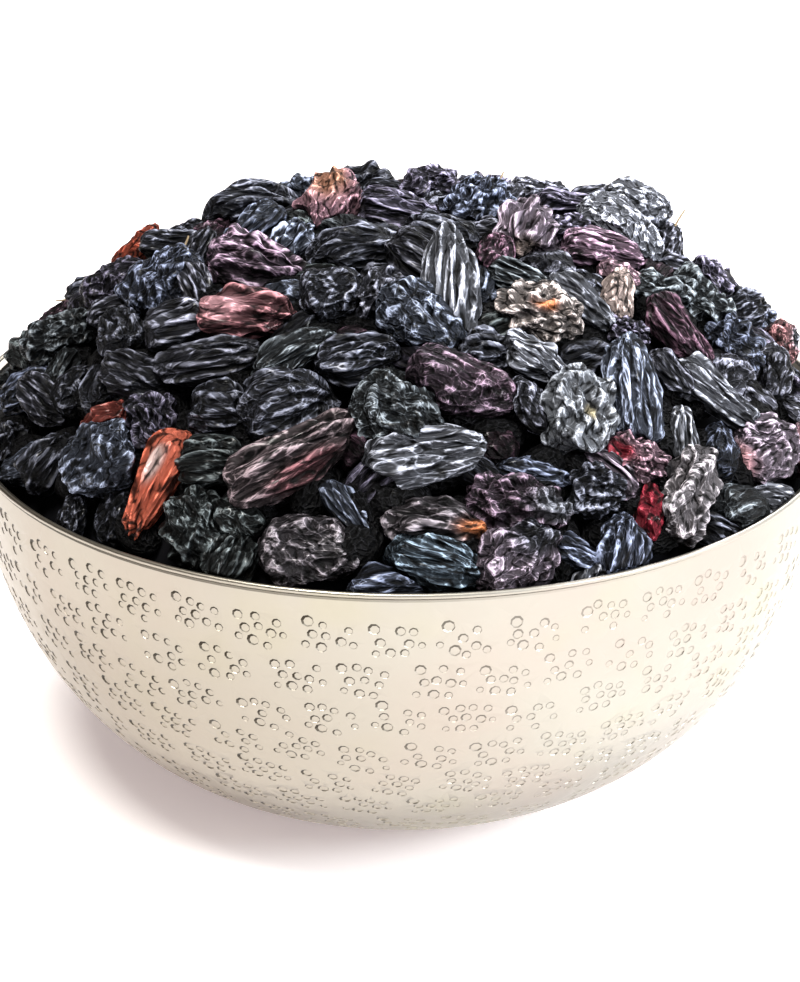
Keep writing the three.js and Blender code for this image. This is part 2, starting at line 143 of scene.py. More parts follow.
# Raisins seen in the front half of the heap, one line each: plan x and y, turn of the long axis as seen
# from the front in degrees, length, width, lift above the heap, look, tint
seenRaisins = [
    (-54, 13, 3, 12, 6, 1.5, "ribbed", "black"),
    (-60, 8, 60, 9, 6.5, 0.5, "smooth", "maroon"),
    (-48.5, -4, 35, 12, 9, 0.5, "smooth", "purple"),
    (-48, -13, 5, 9, 5, 0, "ribbed", "grey"),
    (-46, 9, 80, 12, 6.5, 2, "smooth", "rust"),
    (-38, 14, 10, 8, 5.5, 1, "smooth", "black"),
    (-39, 2, -15, 12, 6, 0.5, "ribbed", "black"),
    (-34, -3, 80, 8, 4.5, 0, "ribbed", "grey"),
    (-39.5, -14, 75, 15, 13, 1, "dented", "blue"),
    (-25, 12, -8, 21, 9, 2.5, "arched", "black"),
    (-25, -2, 65, 13, 9, 0.5, "folded", "blue"),
    (-18.5, -10.5, 70, 10, 7, 0.5, "folded", "steel"),
    (-33.5, -19, -65, 10, 6, 0, "ribbed", "grey"),
    (-23.5, -17.5, -28, 17, 10, 1, "folded", "plum"),
    (-12, 5, 85, 13, 11, 2, "lobed", "blush"),
    (-3, 18, -5, 9, 5, 1, "ribbed", "black"),
    (-0.5, 0, -20, 14, 8.5, 1, "ribbed", "purple"),
    (-7, -15, 8, 21, 9, 1, "arched", "black"),
    (5, 17, 10, 11, 8, 2, "crumpled", "purple"),
    (12, 17, 0, 10, 6, 1, "smooth", "grey"),
    (13, 2, 70, 12, 10, 1, "crumpled", "blue"),
    (17.5, 8, 60, 9, 6, 0.5, "ribbed", "grey"),
    (24, 16, 0, 10, 7, 1.5, "dented", "grey"),
    (28, 4, 5, 11, 6, 1, "ribbed", "purple"),
    (33, 16, 40, 8, 5.5, 3, "ribbed", "grey"),
    (40.5, 12, 5, 13, 9.5, 4, "smooth", "ash"),
    (38, 11, 15, 16, 9, 1.6, "ribbed", "black"),
    (37.5, -2, -48, 17, 9, 2, "smooth", "ash"),
    (33, -11, -5, 14, 6.5, 1, "ribbed", "magenta"),
    (35.5, -15.5, -15, 8, 5, 0, "smooth", "pink"),
    (27.5, -7, 30, 8, 6, 1, "dented", "purple"),
    (21, -9, 75, 12, 9.5, 1, "folded", "mauve"),
    (15, -17, 80, 10, 7, 0, "smooth", "maroon"),
    (30, -20, -20, 10, 6, -1.5, "smooth", "black"),
    (19, -23, -28, 12, 5.5, 0, "ribbed", "green"),
    (46, 9, 60, 8, 6, 1, "smooth", "grey"),
    (46.5, -2, 10, 8, 5, 0, "ribbed", "grey"),
    (53, 3, -40, 10, 6.5, 1, "crumpled", "purple"),
    (42.5, -15, 5, 11, 6, 0.5, "crumpled", "green"),
    (49.5, -11, -20, 12, 9, 1, "crumpled", "green"),
    (35, -22, 75, 11, 6, 0.5, "smooth", "tan"),
    (36, -29, -10, 8, 5.5, 0, "crumpled", "purple"),
    (29, -27, -48, 14, 6, 1, "ribbed", "ash"),
    (21.5, -32, -8, 14, 8.5, 1, "crumpled", "amber"),
    (45, -24.5, -56, 15, 6.5, 1.5, "ribbed", "maroon"),
    (55.5, -15.5, -20, 11, 9, 1, "crumpled", "blue"),
    (62, -13, 60, 10, 8, 1, "smooth", "grey"),
    (59, 2, 30, 10, 7, 2, "folded", "black"),
    (66, 2, 60, 9, 8, 3, "smooth", "coral"),
    (66.5, -24, 50, 10, 9, 1, "folded", "pink"),
    (50.5, -31.5, -33, 17, 7, 1, "ribbed", "ash"),
    (36, -42, 88, 20, 9.5, 1.5, "ribbed", "steel"),
    (43, -33, -45, 9, 5, 0.5, "ribbed", "grey"),
    (44, -42.5, 82, 11, 5, 0, "ribbed", "pale"),
    (58.5, -34, 20, 14, 11, 1.5, "dented", "mauve"),
    (60, -39.5, 0, 10, 6, 0, "ribbed", "pale"),
    (50, -51.5, -15, 10, 5.5, 0, "ribbed", "black"),
    (44, -51.5, 58, 17, 10, 1.5, "crumpled", "oat"),
    (38.5, -55, 80, 10, 5, -0.5, "smooth", "crimson"),
    (36, -50.5, -18, 11, 6.5, 1, "crumpled", "pink"),
    (32, -53.5, -40, 10, 6, 0, "ribbed", "mauve"),
    (30, -56.5, 10, 9, 8, 0, "crumpled", "black"),
    (33.5, -62.5, 85, 12, 8.5, 1, "ribbed", "blue"),
    (28.5, -67, 70, 8, 5, 0, "ribbed", "pale"),
    (26, -64.5, -20, 9, 5, 0, "ribbed", "blue"),
    (27, -48.5, 85, 14, 12, 2, "crumpled", "straw"),
    (19.5, -49, -62, 10, 6, 0.5, "smooth", "grey"),
    (20.5, -41, -32, 11, 7, 1, "folded", "ash"),
    (13, -40, 0, 9, 8, -1, "ribbed", "black"),
    (7.5, -30, 89, 25, 8.5, 2, "ribbed", "pale"),
    (9.5, -48.5, -16, 18, 11, 1.5, "smooth", "plum"),
    (3, -36, -50, 16, 11, 1, "dented", "steel"),
    (-4, -29.5, 70, 10, 8, 0.5, "crumpled", "grey"),
    (-11, -30, 20, 11, 10, 1, "smooth", "black"),
    (-16.5, -42, 38, 14.5, 7.5, 1, "folded", "green"),
    (-7, -43.5, 8, 14, 7.5, 1, "ribbed", "black"),
    (-24, -32.5, -8, 16, 8.5, 1.5, "folded", "rose"),
    (-29.5, -38.5, 2, 19, 7, 1, "ribbed", "grey"),
    (-41.5, -35.5, -28, 12.5, 7.5, 1, "ribbed", "grey"),
    (-46.5, -40.5, 28, 9, 7, 1, "folded", "brick"),
    (-37.5, -45.5, -55, 11, 8.5, 0.5, "crumpled", "purple"),
    (-46.5, -46, 60, 13, 12.5, 1.5, "swirled", "steel"),
    (-56, -38, 50, 11, 8.5, 0, "ribbed", "black"),
    (-51, -49.5, 80, 9, 5, -0.5, "smooth", "black"),
    (-37.5, -54.5, 66, 20, 6.8, 1.5, "ribbed", "orange"),
    (-31, -61, -65, 12, 9, 0.5, "crumpled", "moss"),
    (-25.5, -65.5, 60, 9, 8, 0, "ribbed", "moss"),
    (-58, -26, -38, 12, 6.5, 1, "ribbed", "grey"),
    (-65, -27, 70, 10, 7, 0, "crumpled", "black"),
    (-57, -11.5, 12, 14, 7.5, 1, "crumpled", "green"),
    (-62, -17, 10, 12, 7, 0, "ribbed", "blue"),
    (-53, -27, 60, 10, 7, -1, "smooth", "black"),
    (-27, -47.5, -10, 12, 8.5, 0.5, "arched", "black"),
    (-28.5, -54, 0, 12, 8, 0, "ribbed", "moss"),
    (-17.5, -50, 18, 16, 10.5, 1.5, "arched", "black"),
    (-16, -57.5, 28, 22, 9, 1.5, "folded", "mocha"),
    (-0.5, -53.5, -20, 13, 12, 1.5, "crumpled", "green"),
    (4, -58.5, 8, 19, 8.5, 1.5, "ribbed", "ash"),
    (-8, -63.5, -52, 11, 4.5, 0, "ribbed", "steel"),
    (-13, -67, -5, 16, 10, 0, "dented", "brown"),
    (5.3, -65, -6, 16, 7.5, 0, "folded", "brown"),
    (5.3, -69, -14, 15, 8, 0, "ribbed", "teal"),
    (17.8, -62, -8, 16, 8.5, 1, "crumpled", "plum"),
    (18, -67, 35, 15, 10.5, 0, "crumpled", "mauve"),
    (20, -57, -5, 12, 5, -0.5, "ribbed", "blue"),
]

# How the listed raisins lie for the viewer, how the others are drawn, and how a raisin is formed
lay = {"view": 25.0, "back": 0.6, "width": 7.0, "lift": 0.5, "liftedWidth": 6.0}
rest = {
    "seed": 20261, "tries": 4000, "margin": 7.0, "closest": 10.5, "tilt": (-0.35, 0.35),
    "length": (11.5, 16.5), "slimness": (0.55, 0.75), "lift": (-0.6, 1.6),
    "looks": ("ribbed", "ribbed", "ribbed", "crumpled", "crumpled", "smooth", "dented", "folded"),
    "tints": ("black", "black", "black", "blue", "purple", "grey", "green", "maroon", "moss", "steel"),
}
gaps = {
    **rest, "seed": 90210, "margin": 3.0, "closest": 7.0, "length": (9.0, 13.0), "lift": (-2.6, -1.0),
}
form = {
    "seed": 1000, "seedStep": 37, "taper": (-0.22, 0.22), "bend": (-0.05, 0.2), "archBend": 0.42,
    "plumpness": 3.0, "flatness": 0.86, "held": 0.75, "crowd": 0.25, "give": 0.92, "halvings": 7,
}

# How the pale bloom on the ridges varies with each raisin; and painted light, lighter towards the right and
# the top of the heap, and painted shade, darker down in the gaps
bloomAndPaintedLight = {
    "power": 1.75, "cast": (0.97, 1.0, 1.17), "deep": 0.6, "front": (0.85, 1.15), "others": (0.55, 1.25),
    # painted light: lighter towards the right and the top of the heap
    "right": 0.65, "rightOver": 45.0, "rightBase": 0.1, "top": 0.95, "topFrom": 84.0, "topOver": 16.0,
    # painted shade: how far under the heap it starts and is full, and the least colour left
    "under": (0.5, 7.5, 0.2), "patchEdge": 1.5,
}

# The colour of the ridges of each tint, 0 to 255, and how much of it is left in the hollows
tints = {
    "black": (112, 114, 122, 0.025), "blue": (116, 124, 142, 0.03), "purple": (118, 111, 126, 0.035),
    "grey": (136, 136, 144, 0.03), "steel": (152, 162, 178, 0.05), "pale": (186, 188, 190, 0.05),
    "green": (126, 134, 132, 0.03), "moss": (100, 108, 102, 0.03), "teal": (152, 176, 186, 0.05),
    "maroon": (98, 68, 78, 0.06), "brown": (148, 136, 134, 0.05), "mocha": (146, 124, 120, 0.06),
    "mauve": (176, 154, 162, 0.10), "plum": (146, 118, 130, 0.04), "oat": (180, 169, 163, 0.11),
    "straw": (184, 188, 186, 0.15), "tan": (212, 182, 160, 0.18), "peach": (255, 166, 120, 0.4),
    "blush": (206, 146, 152, 0.16), "cream": (255, 208, 182, 0.5), "wine": (150, 88, 88, 0.07),
    "ash": (168, 170, 172, 0.08), "corn": (228, 208, 150, 0.4), "amber": (198, 180, 162, 0.10),
    "ember": (236, 126, 70, 0.35), "rust": (200, 80, 54, 0.3), "brick": (146, 62, 50, 0.25),
    "orange": (250, 108, 74, 0.42), "coral": (188, 122, 116, 0.12), "red": (208, 56, 42, 0.3),
    "crimson": (160, 40, 50, 0.3), "rose": (158, 98, 96, 0.09), "blossom": (255, 176, 172, 0.4),
    "pink": (196, 148, 154, 0.10), "magenta": (168, 130, 144, 0.08),
}

# Patches of another tint on a raisin: tint, place along it and across it, size, all in half lengths
patches = {
    (-46, 9): ("rust", 0.8, 0.0, 0.8), (-12, 5): ("peach", 0.55, 0.0, 0.8),
    (21, -9): ("tan", -0.85, 0.2, 0.4), (21.5, -32): ("ember", 0.1, 0.3, 0.35),
    (36, -50.5): ("crimson", -0.6, 0.3, 0.6), (27, -48.5): ("corn", -0.2, 0.15, 0.22),
    (9.5, -48.5): ("magenta", 0.4, -0.4, 0.7), (-24, -32.5): ("blossom", -0.45, 0.15, 0.55),
    (-37.5, -54.5): ("cream", 0.35, 0.0, 0.32), (-16, -57.5): ("wine", 0.1, 0.9, 0.6),
    (5.3, -65): ("ember", 0.75, 0.2, 0.45), (17.8, -62): ("pale", 0.7, 0.0, 0.6),
    (18, -67): ("grey", 0.6, -0.3, 0.7), (3, -36): ("steel", -0.3, 0.4, 0.7),
    (-13, -67): ("oat", 0.4, 0.0, 0.5), (-25, -2): ("steel", 0.5, 0.2, 0.7),
    (66, 2): ("pale", 0.3, 0.0, 0.5), (66.5, -24): ("orange", 0.3, -0.2, 0.7),
    (58.5, -34): ("blossom", -0.9, 0.2, 0.5),
}

# Raisins drawn out to a thin end, by how much
drawnOut = {(-37.5, -54.5): 0.78, (-16, -57.5): -0.15, (9.5, -48.5): -0.15, (-54, 13): -0.2}

# Raisins that keep a bit of their stalk: the end it is on and its length
stalks = {
    (46, 9): (1, 2.6), (-16, -57.5): (1, 1.8), (21, -9): (-1, 1.2), (-54, 13): (-1, 1.6), (13, 2): (1, 1.8),
    (-39.5, -14): (1, 1.4), (50.5, -31.5): (-1, 1.5),
}

# Tints that stand out from the black ones lie on pieces of their own
pieceOf = {
    "rust": "red", "brick": "red", "red": "red", "crimson": "red", "orange": "red", "coral": "red",
    "rose": "pink", "pink": "pink", "magenta": "pink", "blush": "tan", "tan": "tan", "amber": "tan",
    "plum": "plum",
}

# The folds of each look: ridges round the belly, their depth and that of the finer ones in millimetres,
# how they run, how hard they are pulled straight, and how lumpy and how sunken the whole raisin is
lookParts = ("ridges", "depth", "fineDepth", "run", "pull", "lump", "dent")
lookValues = {
    "ribbed": (9.0, 0.75, 0.30, "along", 0.7, 0.15, 0.12),
    "arched": (8.0, 0.85, 0.30, "along", 0.7, 0.15, 0.12),
    "crumpled": (8.0, 0.95, 0.30, "any", 0.0, 0.22, 0.12),
    "folded": (7.0, 1.10, 0.25, "along", 0.35, 0.24, 0.15),
    "lobed": (7.0, 1.10, 0.22, "any", 0.0, 0.25, 0.15),
    "smooth": (8.0, 0.30, 0.14, "any", 0.0, 0.12, 0.05),
    "dented": (8.0, 0.45, 0.20, "any", 0.0, 0.12, 0.5),
    "swirled": (6.0, 1.10, 0.28, "any", 0.0, 0.24, 0.3),
}
looks = {name: dict(zip(lookParts, values)) for name, values in lookValues.items()}


def placeSeen(row):
    x, y, turn, length, width, lift, look, tint = row
    view, angle = math.radians(lay["view"]), math.radians(turn)
    normal = heapNormal(x, y)
    axis = np.array([math.cos(angle), math.sin(angle) * math.sin(view), math.sin(angle) * math.cos(view)])
    axis = axis - lay["back"] * (axis @ normal) * normal
    middle = np.array([x, y, heapHeight(x, y) - heap["depth"] + lift])
    return {
        "middle": middle, "axis": unit(axis), "normal": normal, "length": length,
        "width": width, "look": look, "tint": tint, "patch": patches.get((x, y)), "lift": lift,
        "drawn": drawnOut.get((x, y), 0), "stalk": stalks.get((x, y)), "front": True,
    }


def placeRest(placed, rest):
    draw = drawer(rest["seed"])
    middles = [raisin["middle"] for raisin in placed] or [np.full(3, 1000.0)]
    found = []
    for count in range(rest["tries"]):
        x = draw(-heap["radius"], heap["radius"])
        y = draw(-heap["radius"], heap["radius"])
        if math.hypot(x, y) > heap["radius"] - rest["margin"]:
            continue
        spot = np.array([x, y, heapHeight(x, y) - heap["depth"]])
        if min(np.linalg.norm(np.array(middles) - spot, axis=1)) < rest["closest"]:
            continue
        angle = draw(0, math.pi)
        tilt = draw(*rest["tilt"])
        length = draw(*rest["length"])
        width = length * draw(*rest["slimness"])
        lift = draw(*rest["lift"])
        look = rest["looks"][int(draw(0, len(rest["looks"])))]
        tint = rest["tints"][int(draw(0, len(rest["tints"])))]
        normal = heapNormal(x, y)
        axis = np.array([math.cos(angle), math.sin(angle), 0.0])
        axis = axis + (tilt - axis @ normal) * normal
        middle = spot + np.array([0, 0, lift])
        middles.append(middle)
        found.append({
            "middle": middle, "axis": unit(axis), "normal": normal, "length": length,
            "width": width, "look": look, "tint": tint, "patch": None, "lift": lift,
        })
    return found


def shapeRaisin(raisin, index):
    draw = drawer(form["seed"] + form["seedStep"] * index)
    raisin["across"] = unit(np.cross(raisin["axis"], raisin["normal"]))
    raisin["up"] = np.cross(raisin["across"], raisin["axis"])
    raisin["taper"] = draw(*form["taper"]) + raisin.get("drawn", 0)
    raisin["bend"] = form["archBend"] if raisin["look"] == "arched" else draw(*form["bend"])
    raisin["index"] = index
    return raisin


def standsOut(raisin):
    lifted = raisin["lift"] >= lay["lift"] and raisin["width"] >= lay["liftedWidth"]
    return raisin["tint"] in pieceOf or raisin["width"] >= lay["width"] or lifted


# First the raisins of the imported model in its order, then the small ones, then those in the gaps
def layOut():
    seen = [placeSeen(row) for row in seenRaisins]
    standing = [raisin for raisin in seen if standsOut(raisin)]
    low = [raisin for raisin in seen if not standsOut(raisin)]
    others = placeRest(seen, rest)
    between = placeRest(seen + others, gaps)
    everyone = standing + others + low + between
    return [shapeRaisin(raisin, index) for index, raisin in enumerate(everyone)]


# Balls that the raisins are shaped from: triangles of even size, and for every point its neighbours
def geodesic(frequency):
    start = bmesh.new()
    bmesh.ops.create_icosphere(start, subdivisions=1, radius=1)
    corners = np.array([vertex.co[:] for vertex in start.verts])
    sides = [[vertex.index for vertex in face.verts] for face in start.faces]
    start.free()
    steps = [(i, j) for i in range(frequency + 1) for j in range(frequency + 1 - i)]
    place = {step: number for number, step in enumerate(steps)}
    share = np.array([(i, j, frequency - i - j) for i, j in steps]) / frequency
    patch = []
    for i, j in steps:
        if i + j < frequency:
            patch.append((place[i, j], place[i + 1, j], place[i, j + 1]))
        if i + j < frequency - 1:
            patch.append((place[i + 1, j], place[i + 1, j + 1], place[i, j + 1]))
    patch = np.array(patch)
    points = np.concatenate([share @ corners[side] for side in sides])
    faces = np.concatenate([patch + number * len(steps) for number in range(len(sides))])
    points = unit(points)
    _, first, same = np.unique(np.round(points, 5), axis=0, return_index=True, return_inverse=True)
    points, faces = points[first], same.reshape(-1)[faces]
    inward = np.cross(points[faces[:, 1]] - points[faces[:, 0]], points[faces[:, 2]] - points[faces[:, 0]])
    flip = (inward * points[faces[:, 0]]).sum(axis=1) < 0
    faces[flip] = faces[flip][:, ::-1]
    edges = np.unique(np.sort(faces[:, [0, 1, 1, 2, 2, 0]].reshape(-1, 2), axis=1), axis=0)
    both = np.concatenate([edges, edges[:, ::-1]])
    both = both[np.argsort(both[:, 0], kind="stable")]
    degree = np.bincount(both[:, 0], minlength=len(points))
    begin = np.concatenate([[0], np.cumsum(degree)[:-1]])
    slot = np.minimum(np.arange(6)[None, :], degree[:, None] - 1)
    near = both[:, 1][begin[:, None] + slot]
    weight = (np.arange(6)[None, :] < degree[:, None]) / degree[:, None]
    length = np.linalg.norm(points[edges[:, 0]] - points[edges[:, 1]], axis=1).mean()
    weight = weight.astype(np.float32)
    return {"points": points, "faces": faces, "near": near, "weight": weight, "edge": length}


# The upper side of a raisin is what shows, so the ball's points are crowded towards its top
def crowded(ball):
    return unit(ball["points"] + np.array([0, 0, form["crowd"]]))


# Weights of the neighbours that lie in the direction in which the folds run
def runWeights(ball, run):
    points = crowded(ball)
    pole = np.array([0.0, 1.0, 0.0]) if run == "along" else np.array([0.0, 0.0, 1.0])
    way = pole - (points @ pole)[:, None] * points
    way /= np.maximum(np.linalg.norm(way, axis=1, keepdims=True), 1e-3)
    edges = points[ball["near"]] - points[:, None, :]
    edges /= np.maximum(np.linalg.norm(edges, axis=2, keepdims=True), 1e-6)
    share = (edges * way[:, None, :]).sum(axis=2) ** 4 * (ball["weight"] > 0) + 1e-4
    return (share / share.sum(axis=1, keepdims=True)).astype(np.float32)


# Folds as a drying skin makes them: waves of one width that grow out of noise into a maze
maze = {"growth": 0.6, "noise": 0.3, "steps": 90, "calm": 1.45, "height": 0.75}


def wrinkle(ball, waves, run, pull, seed):
    noise = np.random.default_rng(seed)
    level = ((waves * ball["edge"] / 2) ** 2).astype(np.float32)
    pace = 1.0 / np.maximum((maze["calm"] / level - 1) ** 2, 4)
    field = noise.normal(0, maze["noise"], (len(waves), len(ball["points"]))).astype(np.float32)
    along = None if run == "any" else runWeights(ball, run)
    near, weight = ball["near"], ball["weight"]
    for step in range(maze["steps"]):
        once = field + ((field[:, near] * weight).sum(axis=2) - field) / level
        twice = once + ((once[:, near] * weight).sum(axis=2) - once) / level
        change = maze["growth"] * field - twice - field ** 3
        if along is not None:
            change += pull * ((field[:, near] * along).sum(axis=2) - field)
        field += pace * change
    return np.clip(field / (2 * maze["height"]) + 0.5, 0, 1)


# Carries values from the points of one ball to those of a finer one
def carry(rough, fine, values):
    close = fine["points"] @ rough["points"].T
    best = np.argpartition(-close, 3, axis=1)[:, :3]
    share = 1 / (2 - 2 * np.take_along_axis(close, best, axis=1) + 1e-5)
    share /= share.sum(axis=1, keepdims=True)
    carried = (values[:, best] * share).sum(axis=2)
    near, weight = fine["near"], fine["weight"]
    for step in range(2):
        carried = 0.5 * carried + 0.5 * (carried[:, near] * weight).sum(axis=2)
    return carried


def column(rows, name):
    return np.array([row[name] for row in rows], float)[:, None]


def framesOf(raisins):
    axes = [[raisin["across"], raisin["axis"], raisin["up"]] for raisin in raisins]
    return np.array([raisin["middle"] for raisin in raisins]), np.array(axes)


# The plain form of many raisins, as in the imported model: plump tapered spindles, some bent or sunken
def plainForms(raisins, ball, lumps, dents):
    points = crowded(ball)
    along, angle = points[None, :, 1], np.arctan2(points[:, 2], points[:, 0])[None, :]
    radius = np.sqrt(np.maximum(0, 1 - np.abs(along) ** form["plumpness"]))
    sunk = 1 - dents * np.maximum(0, np.sin(angle)) ** 4 * (1 - along ** 2) ** 2
    radius = radius * sunk * (1 + column(raisins, "taper") * along) * lumps
    width, length = column(raisins, "width"), column(raisins, "length")
    aside = radius * np.cos(angle) * width / 2
    high = radius * np.sin(angle) * width * form["flatness"] / 2
    high = high - column(raisins, "bend") * along ** 2 * length / 2
    ahead = along * length / 2 * (form["held"] + (1 - form["held"]) * lumps)
    return np.stack([aside, ahead, high], axis=2)


# Slow swellings that make every raisin's outline uneven
swellings = {"waves": 5, "pitch": (1.6, 3.4), "gain": 0.3, "base": 0.2}


def lumpiness(raisins, ball, depth):
    noise = np.random.default_rng(form["seed"] + len(raisins))
    points = crowded(ball)
    waves = noise.normal(0, 1, (len(raisins), swellings["waves"], 3))
    pitch = noise.uniform(*swellings["pitch"], (len(raisins), swellings["waves"], 1))
    waves *= pitch / np.linalg.norm(waves, axis=2, keepdims=True)
    shift = noise.uniform(0, 2 * math.pi, (len(raisins), swellings["waves"], 1))
    swell = np.sin(np.einsum("nkc,vc->nkv", waves, points) + shift).sum(axis=1)
    return 1 + depth * (swellings["gain"] * swell + swellings["base"])


# Flats that a raisin dries into, as if it had been pared with a few random cuts
flats = {
    "cuts": 12, "near": 0.64, "far": 0.98, "sharp": 30, "edge": 0.09, "edgeFrom": 0.85, "edgeOver": 0.15,
    # the edges between flats are raised and drawn pale, partly bloom and partly painted highlight
    "crest": 0.35, "pale": 0.3, "least": 0.5, "gain": 1.8,
}


def pared(raisins, ball, strength):
    noise = np.random.default_rng(form["seed"] + 7 * len(raisins))
    cuts = unit(noise.normal(0, 1, (len(raisins), flats["cuts"], 3)))
    depth = noise.uniform(flats["near"], flats["far"], (len(raisins), flats["cuts"], 1))
    toward = np.maximum(np.einsum("nkc,vc->nkv", cuts, crowded(ball)), 0)
    cut = toward / depth
    size = (1 + (cut ** flats["sharp"]).sum(axis=1)) ** (-1 / flats["sharp"])
    second, first = np.moveaxis(np.partition(cut, -2, axis=1)[:, -2:], 1, 0)
    edge = np.exp(-((first - second) / flats["edge"]) ** 2)
    edge = edge * np.clip((first - flats["edgeFrom"]) / flats["edgeOver"], 0, 1)
    return 1 - strength * (1 - size), edge * np.minimum(1, strength)


# Where a raisin would reach into a neighbour, it is pressed flat against it
def press(raisins, points, everyone):
    middles, axes = framesOf(everyone)
    width, length = column(everyone, "width"), column(everyone, "length")
    halves = np.concatenate([width, length, width * form["flatness"]], axis=1) / 2
    reach = halves.max(axis=1)

    def depthIn(number, places):
        return np.linalg.norm((places - middles[number]) @ axes[number].T / halves[number], axis=-1)

    for row, raisin in enumerate(raisins):
        own = raisin["index"]
        away = np.linalg.norm(middles - middles[own], axis=1)
        others = [k for k in np.nonzero(away < reach + reach[own])[0] if k != own]
        scale = np.ones(len(points[row]))
        arm = points[row] - middles[own]
        size = depthIn(own, points[row])
        for other in others:
            low, high = np.zeros(len(scale)), np.ones(len(scale))
            inside = depthIn(other, points[row]) < size
            for step in range(form["halvings"]):
                half = (low + high) / 2
                fits = depthIn(other, middles[own] + arm * half[:, None]) > half * size
                low, high = np.where(fits, half, low), np.where(fits, high, half)
            scale = np.where(inside, np.minimum(scale, low), scale)
        points[row] = middles[own] + arm * (1 - form["give"] * (1 - scale))[:, None]
    return points


def insideBowl(points):
    reach = np.hypot(points[..., 0], points[..., 1])
    height = np.clip(points[..., 2], bowl["sheet"], bowl["height"])
    wall = wallRadius(height) - bowl["sheet"] - bowl["clearance"]
    limit = np.where(points[..., 2] < bowl["height"], wall, heap["radius"])
    points[..., :2] *= np.minimum(1, limit / np.maximum(reach, 1e-6))[..., None]
    return points


def surfaceNormals(points, faces):
    normals = np.zeros_like(points)
    a, b, c = (points[:, faces[:, k]] for k in range(3))
    face = np.cross(b - a, c - a)
    for k in range(3):
        for row in range(len(points)):
            for axis in range(3):
                normals[row, :, axis] += np.bincount(faces[:, k], face[row, :, axis], points.shape[1])
    return normals / np.maximum(np.linalg.norm(normals, axis=2, keepdims=True), 1e-9)


def linear(channels):
    return np.array([part * (value / 255) ** bloomAndPaintedLight["power"] for value, part in zip(channels, bloomAndPaintedLight["cast"])])


# Painted shade: how much of its colour a point keeps, by how far it lies under the heap's own surface
def paintedDepthShade(points):
    near, far, least = bloomAndPaintedLight["under"]
    under = heapHeight(points[..., 0], points[..., 1]) - points[..., 2]
    return 1 - (1 - least) * np.clip((under - near) / (far - near), 0, 1)


# Colours over the points of each raisin: the ridges' tint, with its patch where it has one; painted light
# makes them lighter towards the right and the top of the heap, and painted shade darker under its surface
def skinColours(raisins, ball, depthShade):
    points = crowded(ball)
    colours = np.zeros((len(raisins), len(points), 4))
    for row, raisin in enumerate(raisins):
        tint = tints[raisin["tint"]]
        noise = np.random.default_rng(raisin["index"])
        x, _, high = raisin["middle"]
        shade = noise.uniform(*bloomAndPaintedLight["front" if raisin.get("front") else "others"])
        # painted light, lighter towards the right and the top of the heap
        shade *= 1 + bloomAndPaintedLight["right"] * min(1, max(0, x / bloomAndPaintedLight["rightOver"] + bloomAndPaintedLight["rightBase"]))
        shade *= 1 + bloomAndPaintedLight["top"] * max(0, (high - bloomAndPaintedLight["topFrom"]) / bloomAndPaintedLight["topOver"])
        colours[row, :, :3], colours[row, :, 3] = linear(tint[:3]) * shade, tint[3] * bloomAndPaintedLight["deep"]
        if raisin["patch"]:
            name, ahead, aside, size = raisin["patch"]
            spot = np.array([aside, ahead, math.sqrt(max(0.05, 1 - ahead ** 2 - aside ** 2))])
            far = np.linalg.norm(points - unit(spot), axis=1) / size
            share = np.clip(bloomAndPaintedLight["patchEdge"] - far, 0, 1)[:, None]
            share = share * share * (3 - 2 * share)
            other = np.array([*linear(tints[name][:3]), tints[name][3] * bloomAndPaintedLight["deep"]])
            colours[row] = colours[row] * (1 - share) + other * share
        # painted shade, deeper under the heap's surface
        colours[row, :, :3] *= depthShade[row][:, None]
    return colours


# How far apart the ridges are, how deep and how sharp, and how pale their crests, partly bloom and partly
# painted highlight; and how the creases of the skin are drawn out, by the way in which the folds run
folds = {
    "spread": (0.9, 1.15), "fine": 1.32, "fineSpread": (0.95, 1.1), "sharp": 1.8, "fineSharp": 1.5,
    "gain": 1.5, "fineGain": 1.2, "base": 0.4, "fullWidth": 9.0, "crest": 0.55, "fineCrest": 0.45,
    "grain": {"along": (1.0, 0.2, 1.0), "any": (1.0, 0.6, 1.0)}, "shift": (17.0, 31.0, 47.0), "rough": 8,
}


# All raisins of one fineness and one run of folds at once
def foldRaisins(raisins, ball, rough, everyone):
    run = looks[raisins[0]["look"]]["run"]
    look = [looks[raisin["look"]] for raisin in raisins]
    noise = np.random.default_rng(len(raisins) * 7 + len(ball["points"]))
    pull, lump = column(look, "pull"), column(look, "lump")
    ridges = column(look, "ridges") * noise.uniform(*folds["spread"], (len(look), 1))
    fine = folds["fine"] / ball["edge"] * noise.uniform(*folds["fineSpread"], (len(look), 1))
    big = carry(rough, ball, wrinkle(rough, ridges, run, pull, len(raisins)))
    small = wrinkle(ball, fine, run, pull, len(raisins) + 1)
    swell = lumpiness(raisins, ball, lump)
    size, edge = pared(raisins, ball, flats["least"] + flats["gain"] * lump)
    local = plainForms(raisins, ball, swell * size, column(look, "dent"))
    middles, frames = framesOf(raisins)
    points = np.einsum("nvk,nkc->nvc", local, frames) + middles[:, None, :]
    points = press(raisins, points, everyone)
    out = surfaceNormals(points, ball["faces"])
    rise = folds["gain"] * column(look, "depth") * (big ** folds["sharp"] - folds["base"])
    fineDepth = folds["fineGain"] * column(look, "fineDepth")
    rise = rise + fineDepth * (small ** folds["fineSharp"] - folds["base"])
    rise = np.minimum(1, column(raisins, "width") / folds["fullWidth"]) * rise + flats["crest"] * edge
    points = insideBowl(points + out * rise[:, :, None])
    # how pale each point is, partly bloom and partly painted highlight on the crests
    crest = folds["crest"] * big ** folds["fineSharp"] + folds["fineCrest"] * small ** folds["fineSharp"]
    crest = np.clip(crest + flats["pale"] * edge, 0, 1)
    return points, crest, local * np.array(folds["grain"][run]), skinColours(raisins, ball, paintedDepthShade(points))


